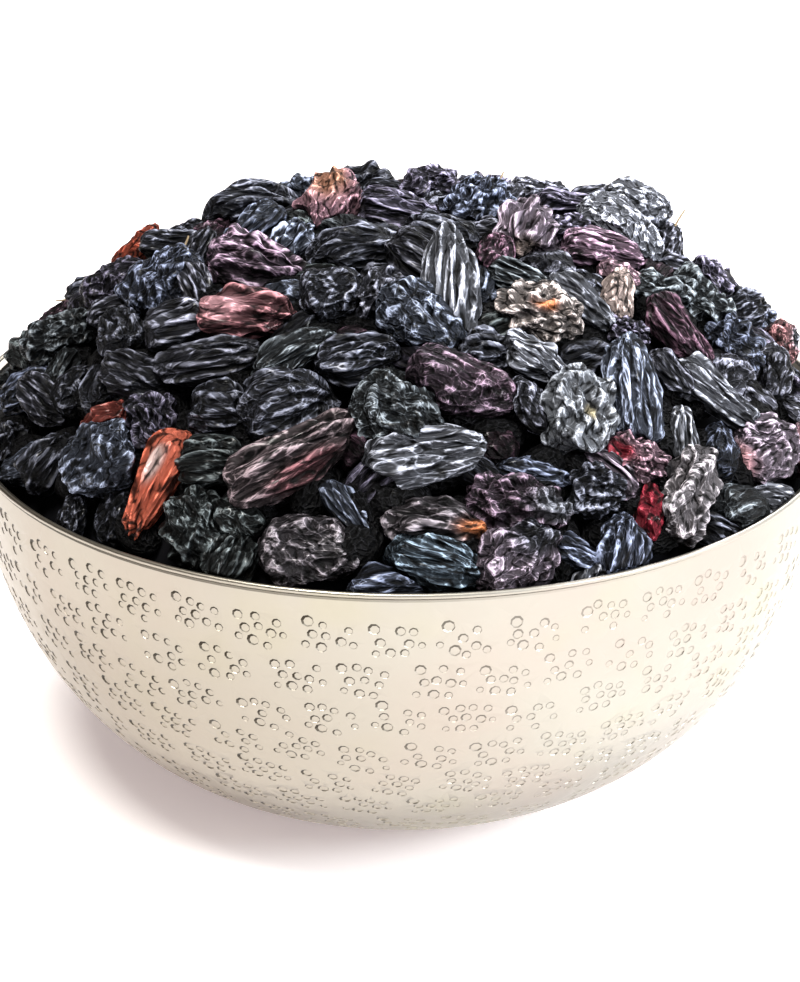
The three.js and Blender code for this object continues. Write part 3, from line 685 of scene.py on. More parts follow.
def meshFrom(name, parts):
    corners = np.concatenate([part["points"].reshape(-1, 3) for part in parts]) * mm
    faces, start = [], 0
    for part in parts:
        count, size = part["points"].shape[:2]
        shifts = start + np.arange(count) * size
        faces.append((part["faces"][None, :, :] + shifts[:, None, None]).reshape(-1, 3))
        start += count * size
    faces = np.concatenate(faces)
    mesh = bpy.data.meshes.new(name)
    mesh.vertices.add(len(corners))
    mesh.vertices.foreach_set("co", corners.astype(np.float32).ravel())
    mesh.loops.add(len(faces) * 3)
    mesh.loops.foreach_set("vertex_index", faces.astype(np.int32).ravel())
    mesh.polygons.add(len(faces))
    mesh.polygons.foreach_set("loop_start", (np.arange(len(faces)) * 3).astype(np.int32))
    mesh.polygons.foreach_set("use_smooth", np.ones(len(faces), bool))
    mesh.update(calc_edges=True)
    mesh.validate()
    for label, kind, field in (
        ("crest", "FLOAT", "value"), ("grain", "FLOAT_VECTOR", "vector"), ("skin", "FLOAT_COLOR", "color"),
    ):
        store(mesh, label, kind, field, np.concatenate([part[label].ravel() for part in parts]))
    return addObject(name, mesh)


def store(mesh, name, kind, field, values):
    attribute = mesh.attributes.new(name, kind, "POINT")
    attribute.data.foreach_set(field, values.astype(np.float32).ravel())


# The parts of a mesh for the raisins given, folded in groups whose folds run alike
def foldAll(raisins, frequency, everyone):
    ball, rough = geodesic(frequency), geodesic(folds["rough"])
    made = {}
    for run in ("along", "any"):
        group = [raisin for raisin in raisins if looks[raisin["look"]]["run"] == run]
        if not group:
            continue
        points, crest, grain, skin = foldRaisins(group, ball, rough, everyone)
        for row, raisin in enumerate(group):
            shift = np.array(folds["shift"]) * (raisin["index"] + 1)
            made[raisin["index"]] = {
                "points": points[row:row + 1], "crest": crest[row], "grain": grain[row] + shift,
                "skin": skin[row], "faces": ball["faces"],
            }
    return made


# Node trees: one method adds any node, and values carry their own arithmetic
class Value:
    def __init__(self, tree, socket):
        self.tree, self.socket = tree, socket

    def math(self, operation, *others):
        inputs = dict(enumerate((self, *others)))
        return self.tree.add("ShaderNodeMath", {"operation": operation}, inputs)

    def __add__(self, other):
        return self.math("ADD", other)

    def __mul__(self, other):
        return self.math("MULTIPLY", other)

    def __sub__(self, other):
        return self.math("SUBTRACT", other)

    def __rsub__(self, other):
        return self.tree.add("ShaderNodeMath", {"operation": "SUBTRACT"}, {0: other, 1: self})

    __radd__ = __add__
    __rmul__ = __mul__


class Tree:
    def __init__(self, nodes):
        self.tree = nodes

    def add(self, kind, settings=None, inputs=None, output=0):
        node = self.tree.nodes.new(kind)
        for name, value in (settings or {}).items():
            setattr(node, name, value)
        for name, value in (inputs or {}).items():
            self.feed(node.inputs[name], value)
        return Value(self, node.outputs[output]) if node.outputs else None

    def feed(self, socket, value):
        if isinstance(value, Value):
            self.tree.links.new(value.socket, socket)
        elif value is not None:
            socket.default_value = value

    def mix(self, factor, first, second):
        return self.add("ShaderNodeMix", {"data_type": "RGBA"}, {0: factor, 6: first, 7: second}, 2)

    def scaled(self, vector, strength):
        return self.add("ShaderNodeVectorMath", {"operation": "SCALE"}, {0: vector, "Scale": strength})

    def noise(self, place, scale, detail, output=0):
        inputs = {"Vector": place, "Scale": scale, "Detail": detail}
        return self.add("ShaderNodeTexNoise", {}, inputs, output)

    def attribute(self, name, output):
        return self.add("ShaderNodeAttribute", {"attribute_name": name}, {}, output)

    def objectPlace(self):
        return self.add("ShaderNodeTexCoord", {}, {}, "Object")

    def ramp(self, value, low, high, least=0.0, most=1.0):
        limits = {"Value": value, "From Min": low, "From Max": high, "To Min": least, "To Max": most}
        return self.add("ShaderNodeMapRange", {"interpolation_type": "SMOOTHSTEP"}, limits)


def newMaterial(name):
    material = bpy.data.materials.new(name)
    material.use_nodes = True
    material.node_tree.nodes.clear()
    return material, Tree(material.node_tree)


def finishMaterial(tree, sockets):
    shader = tree.add("ShaderNodeBsdfPrincipled", {}, sockets)
    tree.add("ShaderNodeOutputMaterial", {}, {"Surface": shader})


# Raisin skin: near-black hollows under thin pale creases that follow the grain; the pale is partly bloom and
# partly painted highlight, stronger on the crests, and painted shade darkens the broad creases
skin = {
    "cellScale": 0.62, "cellWide": 0.36, "cellLine": 0.052, "cellDepth": 0.7 * mm, "cellPale": 0.75,
    # how dark the broad creases are painted as shade, then their scale, depth and width
    "creaseShade": 0.93, "creaseScale": 0.6, "creaseDepth": 0.22 * mm, "creaseWide": (0.95, 1.35),
    "creaseRoughness": 0.5, "creaseGain": 1.6,
    "fineScale": 1.9, "fineDepth": 0.16 * mm, "fineWide": (1.07, 1.47), "finePale": 0.6,
    "poreScale": 3.0, "poreDepth": 0.03 * mm, "warpScale": 0.25, "warp": 2.4,
    "cloudScale": 0.17, "cloudWide": (0.35, 0.65), "cloudLeast": 0.4, "ridgeWide": (0.35, 0.9),
    "hollowPale": 0.3, "ridgePale": 0.13, "foldPale": 0.27, "paleWide": (0.02, 0.95), "coatWide": (0.1, 0.8),
    "roughness": 0.50, "ridgeRoughness": -0.12, "poreRoughness": 0.1, "specular": 0.08, "coat": 0.55,
    "coatRoughness": 0.24,
}


def creases(tree, place, scale, detail):
    return tree.add("ShaderNodeTexNoise", {"noise_type": "RIDGED_MULTIFRACTAL"}, {
        "Vector": place, "Scale": scale, "Detail": detail, "Offset": 1.0,
        "Roughness": skin["creaseRoughness"], "Gain": skin["creaseGain"],
    })


def raisinSkin(name):
    material, tree = newMaterial(name)
    grain = tree.attribute("grain", "Vector")
    sway = tree.scaled(tree.noise(grain, skin["warpScale"], 1.0, "Color"), skin["warp"])
    place = tree.add("ShaderNodeVectorMath", {"operation": "ADD"}, {0: grain, 1: sway})
    cell = tree.add("ShaderNodeTexVoronoi", {"feature": "DISTANCE_TO_EDGE"}, {
        "Vector": place, "Scale": skin["cellScale"],
    })
    fold = tree.ramp(cell, 0.0, skin["cellWide"], 1.0, 0.0)
    foldLine = tree.ramp(cell, 0.0, skin["cellLine"], 1.0, 0.0)
    broad = creases(tree, place, skin["creaseScale"], 1.0)
    fine = creases(tree, place, skin["fineScale"], 2.0)
    pores = tree.noise(grain, skin["poreScale"], 2.0)
    cloud = tree.noise(grain, skin["cloudScale"], 3.0)
    cloud = tree.ramp(cloud, *skin["cloudWide"], skin["cloudLeast"], 1.0)
    ridge = tree.ramp(tree.attribute("crest", "Fac"), *skin["ridgeWide"])
    line = skin["cellPale"] * foldLine + skin["finePale"] * tree.ramp(fine, *skin["fineWide"])
    # painted highlight: the lines are paler on the crests than in the hollows
    line = line * (skin["hollowPale"] + (1 - skin["hollowPale"]) * ridge) * cloud
    pale = line + (skin["ridgePale"] + skin["foldPale"] * fold) * ridge
    deep = tree.attribute("skin", "Alpha")
    share = deep + (1 - deep) * tree.ramp(pale, *skin["paleWide"])
    # painted shade in the broad creases
    share = share * (1 - skin["creaseShade"] * tree.ramp(broad, *skin["creaseWide"]))
    height = fold * skin["cellDepth"] - broad * skin["creaseDepth"]
    height = height + fine * skin["fineDepth"] + pores * skin["poreDepth"]
    bump = tree.add("ShaderNodeBump", {}, {"Strength": 1.0, "Distance": 1.0, "Height": height})
    finishMaterial(tree, {
        "Base Color": tree.scaled(tree.attribute("skin", "Color"), share), "Normal": bump,
        "Roughness": skin["roughness"] + skin["ridgeRoughness"] * ridge + skin["poreRoughness"] * pores,
        "Specular IOR Level": skin["specular"], "Coat Roughness": skin["coatRoughness"],
        "Coat Weight": skin["coat"] * tree.ramp(pale, *skin["coatWide"]),
    })
    return material


# The inside of the heap, near black as painted shade, seen only in the deepest gaps
inner = {
    "depth": 11.0, "reach": 70.0, "bottom": 48.0, "sides": 72, "rings": 26, "lump": 1.4, "spacing": 8.0,
    # near-black colours, painted shade
    "sway": 0.7, "shift": 0.9, "dark": (0.001, 0.001, 0.002, 1), "light": (0.005, 0.005, 0.006, 1),
    "mottle": 260.0, "bump": 0.4 * mm, "roughness": 0.9, "specular": 0.08,
}


def makeInner():
    rows = []
    wave = 2 * math.pi / inner["spacing"]
    turn = turns(inner["sides"])
    for radius in np.linspace(0, inner["reach"], inner["rings"])[1:]:
        x, y = radius * np.cos(turn), radius * np.sin(turn)
        lumps = np.sin(wave * x + inner["sway"] * np.sin(wave * y)) * np.sin(wave * y + inner["shift"])
        rows.append(np.stack([x, y, heapHeight(x, y) - inner["depth"] + inner["lump"] * lumps], axis=1))
    low = inner["reach"] * np.stack([np.cos(turn), np.sin(turn)], axis=1)
    rows.append(np.concatenate([low, np.full((inner["sides"], 1), inner["bottom"])], axis=1))
    build = bmesh.new()
    rings = [[build.verts.new(point * mm) for point in row] for row in rows]
    top = build.verts.new((0, 0, (heapHeight(0, 0) - inner["depth"]) * mm))
    bottom = build.verts.new((0, 0, inner["bottom"] * mm))
    for side in range(inner["sides"]):
        after = (side + 1) % inner["sides"]
        build.faces.new((top, rings[0][side], rings[0][after]))
        build.faces.new((bottom, rings[-1][after], rings[-1][side]))
        for upper, lower in zip(rings, rings[1:]):
            build.faces.new((upper[side], lower[side], lower[after], upper[after]))
    for face in build.faces:
        face.smooth = True
    piece = addObject("raisins_inside", meshOf(build, "raisins_inside"))
    material, tree = newMaterial("raisinsInside")
    mottle = tree.noise(tree.objectPlace(), inner["mottle"], 3.0)
    finishMaterial(tree, {
        "Base Color": tree.mix(mottle, inner["dark"], inner["light"]), "Roughness": inner["roughness"],
        "Specular IOR Level": inner["specular"],
        "Normal": tree.add("ShaderNodeBump", {}, {"Distance": inner["bump"], "Height": mottle}),
    })
    piece.data.materials.append(material)
    return piece


# The bowl's outline, from the edge of the foot up the outside, over the bead and down the inside
def bowlOutline():
    top = bowl["height"]
    outside = (top - bowl["beadFrom"]) * np.linspace(0, 1, bowl["steps"] + 1) ** bowl["crowding"]
    inside = (top - bowl["insideFrom"]) * np.linspace(0, 1, bowl["stepsInside"] + 1) ** bowl["crowding"]
    step = 0.01 + inside * 0.001
    across = np.stack([-step, wallRadius(inside + step) - wallRadius(inside)], axis=1)
    across *= bowl["sheet"] / np.linalg.norm(across, axis=1, keepdims=True)
    inner = np.stack([wallRadius(inside), inside], axis=1) + across
    outside = np.append(outside[:-1], [top - bowl["grooveFrom"], top - bowl["beadFrom"]])
    outer = np.stack([wallRadius(outside), outside], axis=1)
    turn = np.radians(np.linspace(*bowl["beadTurn"]))
    middle = np.array([bowl["rim"] - bowl["bead"], top - bowl["bead"]])
    bead = middle + bowl["bead"] * np.stack([np.cos(turn), np.sin(turn)], axis=1)
    groove = outer[-1:] + np.array([[-bowl["groove"], bowl["groove"] / 2]])
    return np.concatenate([outer, groove, bead, inner[::-1]])


def makeBowlBlank():
    outline = bowlOutline() * mm
    turn = turns(bowl["sides"])
    build = bmesh.new()
    rings = [[build.verts.new((r * math.cos(t), r * math.sin(t), z)) for t in turn] for r, z in outline]
    under = build.verts.new((0, 0, 0))
    over = build.verts.new((0, 0, bowl["sheet"] * mm))
    paintedShade = build.faces.layers.float.new("paintedShade")
    for side in range(bowl["sides"]):
        after = (side + 1) % bowl["sides"]
        build.faces.new((under, rings[0][after], rings[0][side]))
        build.faces.new((over, rings[-1][side], rings[-1][after]))
        for number, (low, high) in enumerate(zip(rings, rings[1:])):
            face = build.faces.new((low[side], low[after], high[after], high[side]))
            if bowl["steps"] <= number <= bowl["steps"] + 2:  # the groove under the bead
                # painted shade in the groove under the bead, darker at the left
                face[paintedShade] = bowl["paintedShade"] - bowl["paintedShadeAside"] * math.cos(turn[side])
    bmesh.ops.triangulate(build, faces=build.faces)
    return addObject("bowl_punched", meshOf(build, "bowl_punched"))


# Punched dents in stamps of eleven, in staggered rows from under the rim to the foot, in millimetres
dents = {
    "firstRow": 8.2, "rowPitch": 7.9, "rows": 10, "lastRow": 3.0, "stampPitch": 10.6, "fewest": 5,
    "turn": 12.0, "shift": 0.45, "jitter": 0.2, "spread": 0.86, "sizes": (0.9, 1.1), "apart": 0.97,
    "belowRim": 2.2, "aboveFoot": 0.5, "slant": 24.0, "slantShift": 15.0, "seed": 5, "samples": 2000,
    "probe": 0.2, "sides": 8, "depth": 0.17, "floor": 0.66, "aside": 0.25, "tilt": 0.03, "lip": 0.03,
    # painted shade on the walls of a dent, and how much more of it there is on the far side
    "over": 0.5, "overWidth": 1.04, "paintedShade": 0.5, "paintedShadeAbove": 0.62, "crisp": 0.42,
}

# One stamp: each dent's place across and up, and its radius
stamp = [
    (-3.6, 2.7, 1.10), (-1.2, 3.0, 0.88), (1.2, 2.3, 0.88), (3.6, 1.7, 0.84), (-2.7, 0.3, 0.92),
    (-0.2, 0.4, 0.92), (2.2, -0.4, 0.92), (-1.3, -2.1, 1.05), (4.4, -1.0, 0.75), (1.4, -2.7, 0.88),
    (-3.9, -1.8, 0.75),
]


# A point for every dent, on the wall, with the way out of it and its size
def dentPoints():
    noise = np.random.default_rng(dents["seed"])
    heights = np.linspace(0, bowl["height"] - bowl["beadFrom"], dents["samples"])
    radii = wallRadius(heights)
    arc = np.concatenate([[0], np.cumsum(np.hypot(np.diff(radii), np.diff(heights)))])
    whole = arc[-1]
    places, outs, deeps, sizes = [], [], [], []
    for row in range(dents["rows"]):
        level = whole + bowl["beadFrom"] - dents["firstRow"] - row * dents["rowPitch"]
        if level < dents["lastRow"]:
            break
        around = 2 * math.pi * np.interp(level, arc, radii)
        count = max(dents["fewest"], round(around / dents["stampPitch"]))
        for number in range(count):
            centre = (number + 0.5 * (row % 2)) * around / count + noise.normal(0, dents["shift"])
            lean = math.radians(noise.uniform(-dents["turn"], dents["turn"]))
            drop = noise.normal(0, dents["shift"])
            for x, y, size in stamp:
                x = dents["spread"] * x + noise.normal(0, dents["jitter"])
                y = dents["spread"] * y + noise.normal(0, dents["jitter"])
                aside = centre + x * math.cos(lean) - y * math.sin(lean)
                up = level + drop + x * math.sin(lean) + y * math.cos(lean)
                up = np.clip(up, dents["aboveFoot"], whole - dents["belowRim"])
                radius, height = np.interp(up, arc, radii), np.interp(up, arc, heights)
                angle = aside / around * 2 * math.pi - math.pi / 2
                ends = up + np.array([-1, 1]) * dents["probe"]
                rise = unit(np.array([np.diff(np.interp(ends, arc, line))[0] for line in (radii, heights)]))
                right = np.array([-math.sin(angle), math.cos(angle), 0])
                upward = np.array([rise[0] * math.cos(angle), rise[0] * math.sin(angle), rise[1]])
                slant = math.radians(dents["slant"] + noise.normal(0, dents["slantShift"]))
                places.append((radius * math.cos(angle), radius * math.sin(angle), height))
                outs.append(np.cross(right, upward))
                deeps.append(upward * math.cos(slant) - right * math.sin(slant))
                sizes.append(size * noise.uniform(*dents["sizes"]))
    places, outs, deeps, sizes = (np.array(values) for values in (places, outs, deeps, sizes))
    keep = np.ones(len(places), bool)
    for number in range(len(places)):
        near = np.linalg.norm(places[:number] - places[number], axis=1)
        least = (sizes[:number] + sizes[number]) * dents["apart"]
        keep[number] = not np.any((near < least) & keep[:number])
    return places[keep], {"out": outs[keep], "deep": deeps[keep], "size": sizes[keep] * mm}


# The tip of the punch: a flat round end of unit width, off its middle, so that the dent's far side is wide
# and its near side steep; painted shade darkens its walls, most on the far side
def makePunch():
    build = bmesh.new()
    turn = turns(dents["sides"])
    levels = (
        (dents["overWidth"], dents["over"], 0, 0), (1.0, dents["lip"], 0, 0),
        (dents["floor"], -dents["depth"], -dents["aside"], dents["tilt"]),
    )
    rings = []
    for radius, level, shift, tilt in levels:
        ring = [(math.cos(t), math.sin(t)) for t in turn]
        rings.append([build.verts.new((radius * x, radius * y + shift, level - tilt * y)) for x, y in ring])
    paintedShade = build.faces.layers.float.new("paintedShade")
    build.faces.new(rings[0])
    build.faces.new(rings[-1][::-1])
    for side in range(dents["sides"]):
        after = (side + 1) % dents["sides"]
        for upper, lower in zip(rings, rings[1:]):
            wall = build.faces.new((upper[side], lower[side], lower[after], upper[after]))
            # painted shade on the walls, darkest on the far side
            wall[paintedShade] = dents["paintedShade"] + dents["paintedShadeAbove"] * math.sin(turn[side] + turn[1] / 2)
    bmesh.ops.triangulate(build, faces=build.faces)
    return addObject("punch", meshOf(build, "punch"))


# A mesh of loose points that carry values for a tree
def guidePoints(name, places, values):
    mesh = bpy.data.meshes.new(name)
    mesh.vertices.add(len(places))
    mesh.vertices.foreach_set("co", (places * mm).astype(np.float32).ravel())
    for label, numbers in values.items():
        kind = "FLOAT_VECTOR" if numbers.ndim == 2 else "FLOAT"
        store(mesh, label, kind, "vector" if numbers.ndim == 2 else "value", numbers)
    return addObject(name, mesh)


# What a tree takes in, by name, and a shorter way to read a value that the guide carries
def startTree(name, takes):
    group = bpy.data.node_groups.new(name, "GeometryNodeTree")
    for label, kind in takes.items():
        group.interface.new_socket(label, in_out="INPUT", socket_type="NodeSocket" + kind)
    group.interface.new_socket("Made", in_out="OUTPUT", socket_type="NodeSocketGeometry")
    tree = Tree(group)
    given = group.nodes.new("NodeGroupInput")
    return tree, {socket.name: Value(tree, socket) for socket in given.outputs if socket.name}


def carried(tree, label, kind="FLOAT_VECTOR"):
    return tree.add("GeometryNodeInputNamedAttribute", {"data_type": kind}, {"Name": label})


# Turns that put the z axis along one carried way and the y axis as near as it goes to another
def facing(tree, first, second):
    kind = "FunctionNodeAlignRotationToVector"
    turn = tree.add(kind, {"axis": "Z"}, {"Vector": carried(tree, first)})
    inputs = {"Rotation": turn, "Vector": carried(tree, second)}
    return tree.add(kind, {"axis": "Y", "pivot_axis": "Z"}, inputs)


# Copies of one object at every point of the guide
def copiesOf(tree, given, name, turn, scale):
    guide, thing = (
        tree.add("GeometryNodeObjectInfo", {}, {"Object": given[label]}, "Geometry")
        for label in ("Guide", name)
    )
    return tree.add("GeometryNodeInstanceOnPoints", {}, {
        "Points": guide, "Instance": thing, "Rotation": turn, "Scale": scale,
    })


def endTree(tree, made, finish):
    real = tree.add("GeometryNodeRealizeInstances", {}, {0: made})
    real = tree.add("GeometryNodeSetMaterial", {}, {"Geometry": real, "Material": finish})
    tree.add("NodeGroupOutput", {}, {0: real})
    return tree.tree


# Punches the dents: a copy of the punch at every guide point, cut from the blank, with crisp edges
def punchTree():
    tree, given = startTree("punchDents", {
        "Blank": "Geometry", "Guide": "Object", "Punch": "Object", "Depth": "Float", "Crisp": "Float",
        "Finish": "Material",
    })
    size = carried(tree, "size", "FLOAT")
    scale = tree.add("ShaderNodeCombineXYZ", {}, {"X": size, "Y": size, "Z": size * given["Depth"]})
    copies = copiesOf(tree, given, "Punch", facing(tree, "out", "deep"), scale)
    real = tree.add("GeometryNodeRealizeInstances", {}, {0: copies})
    cut = tree.add("GeometryNodeMeshBoolean", {"operation": "DIFFERENCE", "solver": "MANIFOLD"}, {
        "Mesh 1": given["Blank"], "Mesh 2": real,
    })
    bend = tree.add("GeometryNodeInputMeshEdgeAngle", {}, {}, "Unsigned Angle")
    soft = tree.add("FunctionNodeCompare", {"data_type": "FLOAT", "operation": "LESS_THAN"}, {
        0: bend, 1: given["Crisp"],
    })
    for domain, smooth in (("EDGE", soft), ("FACE", True)):
        inputs = {"Geometry": cut, "Shade Smooth": smooth}
        cut = tree.add("GeometryNodeSetShadeSmooth", {"domain": domain}, inputs)
    return endTree(tree, cut, given["Finish"])


# Runs a tree on a piece and keeps the plain mesh; the helpers that it read are removed
def applyTree(piece, group, values):
    modifier = piece.modifiers.new(group.name, "NODES")
    modifier.node_group = group
    for item in group.interface.items_tree:
        if item.item_type == "SOCKET" and item.in_out == "INPUT" and item.name in values:
            modifier[item.identifier] = values[item.name]
    bpy.context.view_layer.update()
    depsgraph = bpy.context.evaluated_depsgraph_get()
    made = bpy.data.meshes.new_from_object(piece.evaluated_get(depsgraph), depsgraph=depsgraph)
    piece.modifiers.remove(modifier)
    piece.data = made
    for helper in values.values():
        if isinstance(helper, bpy.types.Object):
            bpy.data.objects.remove(helper)
    return piece


# Satin metal, a warm silver with faint pink and yellow clouds; painted shade darkens and warms it at the
# left and towards the foot, and is dark in the dents and in the groove under the bead, less so towards the
# right
metal = {
    "silver": (0.365, 0.352, 0.312, 1), "pink": (0.375, 0.34, 0.302, 1), "yellow": (0.365, 0.352, 0.285, 1),
    # colours of painted shade: near black in the dents and the groove, darker and warmer at the left and the
    # foot
    "paintedShade": (0.03, 0.025, 0.018, 1), "paintedDim": (0.312, 0.275, 0.222, 1),
    "cloudScale": 34.0, "otherScale": 57.8, "pinkWide": (0.45, 0.7), "yellowWide": (0.5, 0.75),
    # painted shade at the left and towards the foot: how it fades out across and up
    "paintedDimAcross": (-50 * mm, 35 * mm), "paintedDimRight": 0.1, "paintedDimUp": (10 * mm, 66 * mm), "paintedDimTop": 0.6,
    # painted shade in the dents and the groove: how it is ramped, and how much is left towards the right
    "paintedShadeWide": (0.05, 0.95), "shadeFadeAcross": (-20 * mm, 50 * mm), "shadeKeptRight": 0.3,
    "grainScale": 900.0, "grainDepth": 0.02 * mm, "roughness": 0.36, "cloudRoughness": 0.12,
    "grainRoughness": 0.08,
}


def bowlMetal():
    material, tree = newMaterial("bowlMetal")
    place = tree.objectPlace()
    cloud = tree.noise(place, metal["cloudScale"], 3.0)
    other = tree.noise(place, metal["otherScale"], 2.0)
    grain = tree.noise(place, metal["grainScale"], 3.0)
    across = tree.add("ShaderNodeSeparateXYZ", {}, {0: place}, "X")
    high = tree.add("ShaderNodeSeparateXYZ", {}, {0: place}, "Z")
    colour = tree.mix(tree.ramp(cloud, *metal["pinkWide"]), metal["silver"], metal["pink"])
    colour = tree.mix(tree.ramp(other, *metal["yellowWide"]), colour, metal["yellow"])
    # painted shade, darker and warmer at the left and towards the foot
    paintedDim = tree.ramp(across, *metal["paintedDimAcross"], 1.0, metal["paintedDimRight"])
    paintedDim = paintedDim * tree.ramp(high, *metal["paintedDimUp"], 1.0, metal["paintedDimTop"])
    colour = tree.mix(paintedDim, colour, metal["paintedDim"])
    # painted shade in the dents and the groove, less of it towards the right
    paintedShade = tree.ramp(tree.attribute("paintedShade", "Fac"), *metal["paintedShadeWide"])
    paintedShade = paintedShade * tree.ramp(across, *metal["shadeFadeAcross"], 1.0, metal["shadeKeptRight"])
    roughness = metal["roughness"] + metal["cloudRoughness"] * (cloud - 0.5)
    finishMaterial(tree, {
        "Base Color": tree.mix(paintedShade, colour, metal["paintedShade"]), "Metallic": 1.0,
        "Roughness": roughness + metal["grainRoughness"] * (grain - 0.5),
        "Normal": tree.add("ShaderNodeBump", {}, {"Distance": metal["grainDepth"], "Height": grain}),
    })
    return material


def makeBowl():
    places, values = dentPoints()
    piece = applyTree(makeBowlBlank(), punchTree(), {
        "Guide": guidePoints("dentGuide", places, values), "Punch": makePunch(), "Depth": 1.0,
        "Crisp": dents["crisp"], "Finish": bowlMetal(),
    })
    print("bowl:", len(places), "dents,", len(piece.data.polygons), "faces")
    return piece


assign(makeBowl(), "bowl_metal", "bowl")

# Raisins: finer where the camera sees them, and on several pieces: the raisins of the gaps lie lower than
# "low", wide ones in front are wider than "wide", and "left" and "right" part the ones in front
fineness = {"front": 16, "small": 13, "back": 11, "between": 7}
parting = {"low": -0.8, "wide": 6.0, "left": -22.0, "right": 19.0}


def kindOf(raisin):
    if raisin.get("front"):
        return "front" if raisin["width"] > parting["wide"] else "small"
    return "between" if raisin["lift"] < parting["low"] else "back"


def pieceName(raisin):
    colour = pieceOf.get(raisin["tint"])
    if colour:
        return "raisins_" + colour
    if not raisin.get("front"):
        return "raisins_black_back" if raisin["lift"] > parting["low"] else "raisins_black_low"
    x = raisin["middle"][0]
    side = "left" if x < parting["left"] else "middle" if x < parting["right"] else "right"
    return "raisins_black_" + side


def makeRaisins(raisins):
    groups, made, pieces = {}, {}, {}
    for raisin in raisins:
        groups.setdefault(kindOf(raisin), []).append(raisin)
    for kind, group in groups.items():
        made.update(foldAll(group, fineness[kind], raisins))
        print("raisins", kind, len(group), 20 * fineness[kind] ** 2 * len(group), "triangles")
    for raisin in raisins:
        pieces.setdefault(pieceName(raisin), []).append(made[raisin["index"]])
    return {name: meshFrom(name, parts) for name, parts in pieces.items()}


raisins = layOut()
for name, piece in sorted(makeRaisins(raisins).items()):
    colour = name.split("_")[1]
    piece.data.materials.append(raisinSkin("skin_" + name))
    nodes = [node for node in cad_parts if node.startswith("raisin_" + colour)]
    assign(piece, "raisin_" + colour, *(nodes or ["raisin_heap"]))
    print(name, len(piece.data.polygons), "faces")

# Thin dry stalks, a little curved, that end blunt
stalk = {
    "radius": 0.22, "end": 0.7, "sides": 6, "rings": 5, "rise": 0.35, "inside": 1.2, "grain": 1400.0,
    "dark": (0.16, 0.10, 0.05, 1), "light": (0.42, 0.33, 0.20, 1), "roughness": 0.7,
}


def makeStalks(raisins):
    build = bmesh.new()
    turn = turns(stalk["sides"])
    for raisin in raisins:
        if not raisin.get("stalk"):
            continue
        end, length = raisin["stalk"]
        way, up, across = raisin["axis"] * end, raisin["up"], raisin["across"]
        start = raisin["middle"] + way * (raisin["length"] / 2 - stalk["inside"])
        rings = []
        for share in np.linspace(0, 1, stalk["rings"]):
            middle = start + way * (stalk["inside"] + length) * share
            middle = middle + up * stalk["rise"] * length * share ** 2
            radius = stalk["radius"] * (1 - (1 - stalk["end"]) * share)
            ring = [middle + radius * (math.cos(t) * across + math.sin(t) * up) for t in turn]
            rings.append([build.verts.new(point * mm) for point in ring])
        build.faces.new(rings[0])
        build.faces.new(rings[-1][::-1])
        for lower, upper in zip(rings, rings[1:]):
            for side in range(stalk["sides"]):
                after = (side + 1) % stalk["sides"]
                build.faces.new((lower[side], upper[side], upper[after], lower[after]))
    bmesh.ops.recalc_face_normals(build, faces=build.faces)
    piece = addObject("raisin_stalks", meshOf(build, "raisin_stalks"))
    material, tree = newMaterial("stalk")
    grain = tree.noise(tree.objectPlace(), stalk["grain"], 2.0)
    finishMaterial(tree, {
        "Base Color": tree.mix(grain, stalk["dark"], stalk["light"]), "Roughness": stalk["roughness"],
    })
    piece.data.materials.append(material)
    return piece


assign(makeStalks(raisins), "raisin_tan", "raisin_heap")
assign(makeInner(), "raisin_black", "raisin_heap")

# Small raisins deep between the others, seen only as dark forms
deepRaisins = {
    **rest, "seed": 4711, "margin": 6.0, "closest": 6.6, "length": (9.0, 12.0), "lift": (-4.6, -3.4),
    "slim": (0.55, 0.8), "slimSeed": 3, "fineness": 2, "waves": 9, "sway": 2, "waveDepth": 0.05,
    "crossWaves": 7, "crossShift": 1, "crossDepth": 0.04, "crest": 0.2, "grain": 5.0,
    "skin": (0.12, 0.12, 0.14, 0.02),
}


def scatterTree():
    tree, given = startTree("scatterRaisins", {
        "Blank": "Geometry", "Guide": "Object", "Raisin": "Object", "Least": "Float", "Most": "Float",
        "Seed": "Int", "Finish": "Material",
    })
    slim = tree.add("FunctionNodeRandomValue", {"data_type": "FLOAT"}, {
        2: given["Least"], 3: given["Most"], "Seed": given["Seed"],
    }, 1)
    size = carried(tree, "size", "FLOAT")
    scale = tree.add("ShaderNodeCombineXYZ", {}, {"X": size * slim, "Y": size, "Z": size * slim})
    copies = copiesOf(tree, given, "Raisin", facing(tree, "normal", "axis"), scale)
    return endTree(tree, copies, given["Finish"])


def makeDeep():
    deep = deepRaisins
    found = placeRest([], deep)
    values = {name: np.array([raisin[name] for raisin in found]) for name in ("middle", "normal", "axis")}
    values["size"] = np.array([raisin["length"] / 2 for raisin in found]) * mm
    guide = guidePoints("deepGuide", values.pop("middle"), values)
    ball = geodesic(deep["fineness"])
    x, y, z = (ball["points"][:, [k]] for k in range(3))
    waves = deep["waveDepth"] * np.sin(x * deep["waves"] + deep["sway"] * np.sin(y * deep["sway"]))
    cross = deep["crossDepth"] * np.sin(deep["crossWaves"] * z + deep["crossShift"])
    shape = ball["points"] * (1 + waves + cross)
    sample = meshFrom("deepSample", [{
        "points": shape[None] / mm, "faces": ball["faces"], "crest": np.full(len(shape), deep["crest"]),
        "grain": shape * deep["grain"], "skin": np.tile(deep["skin"], (len(shape), 1)),
    }])
    piece = applyTree(addObject("raisins_deep", bpy.data.meshes.new("raisins_deep")), scatterTree(), {
        "Guide": guide, "Raisin": sample, "Least": deep["slim"][0], "Most": deep["slim"][1],
        "Seed": deep["slimSeed"], "Finish": raisinSkin("skinDeep"),
    })
    print("deep raisins:", len(found), "of", len(ball["faces"]), "faces")
    return piece


assign(makeDeep(), "raisin_black", "raisin_heap")

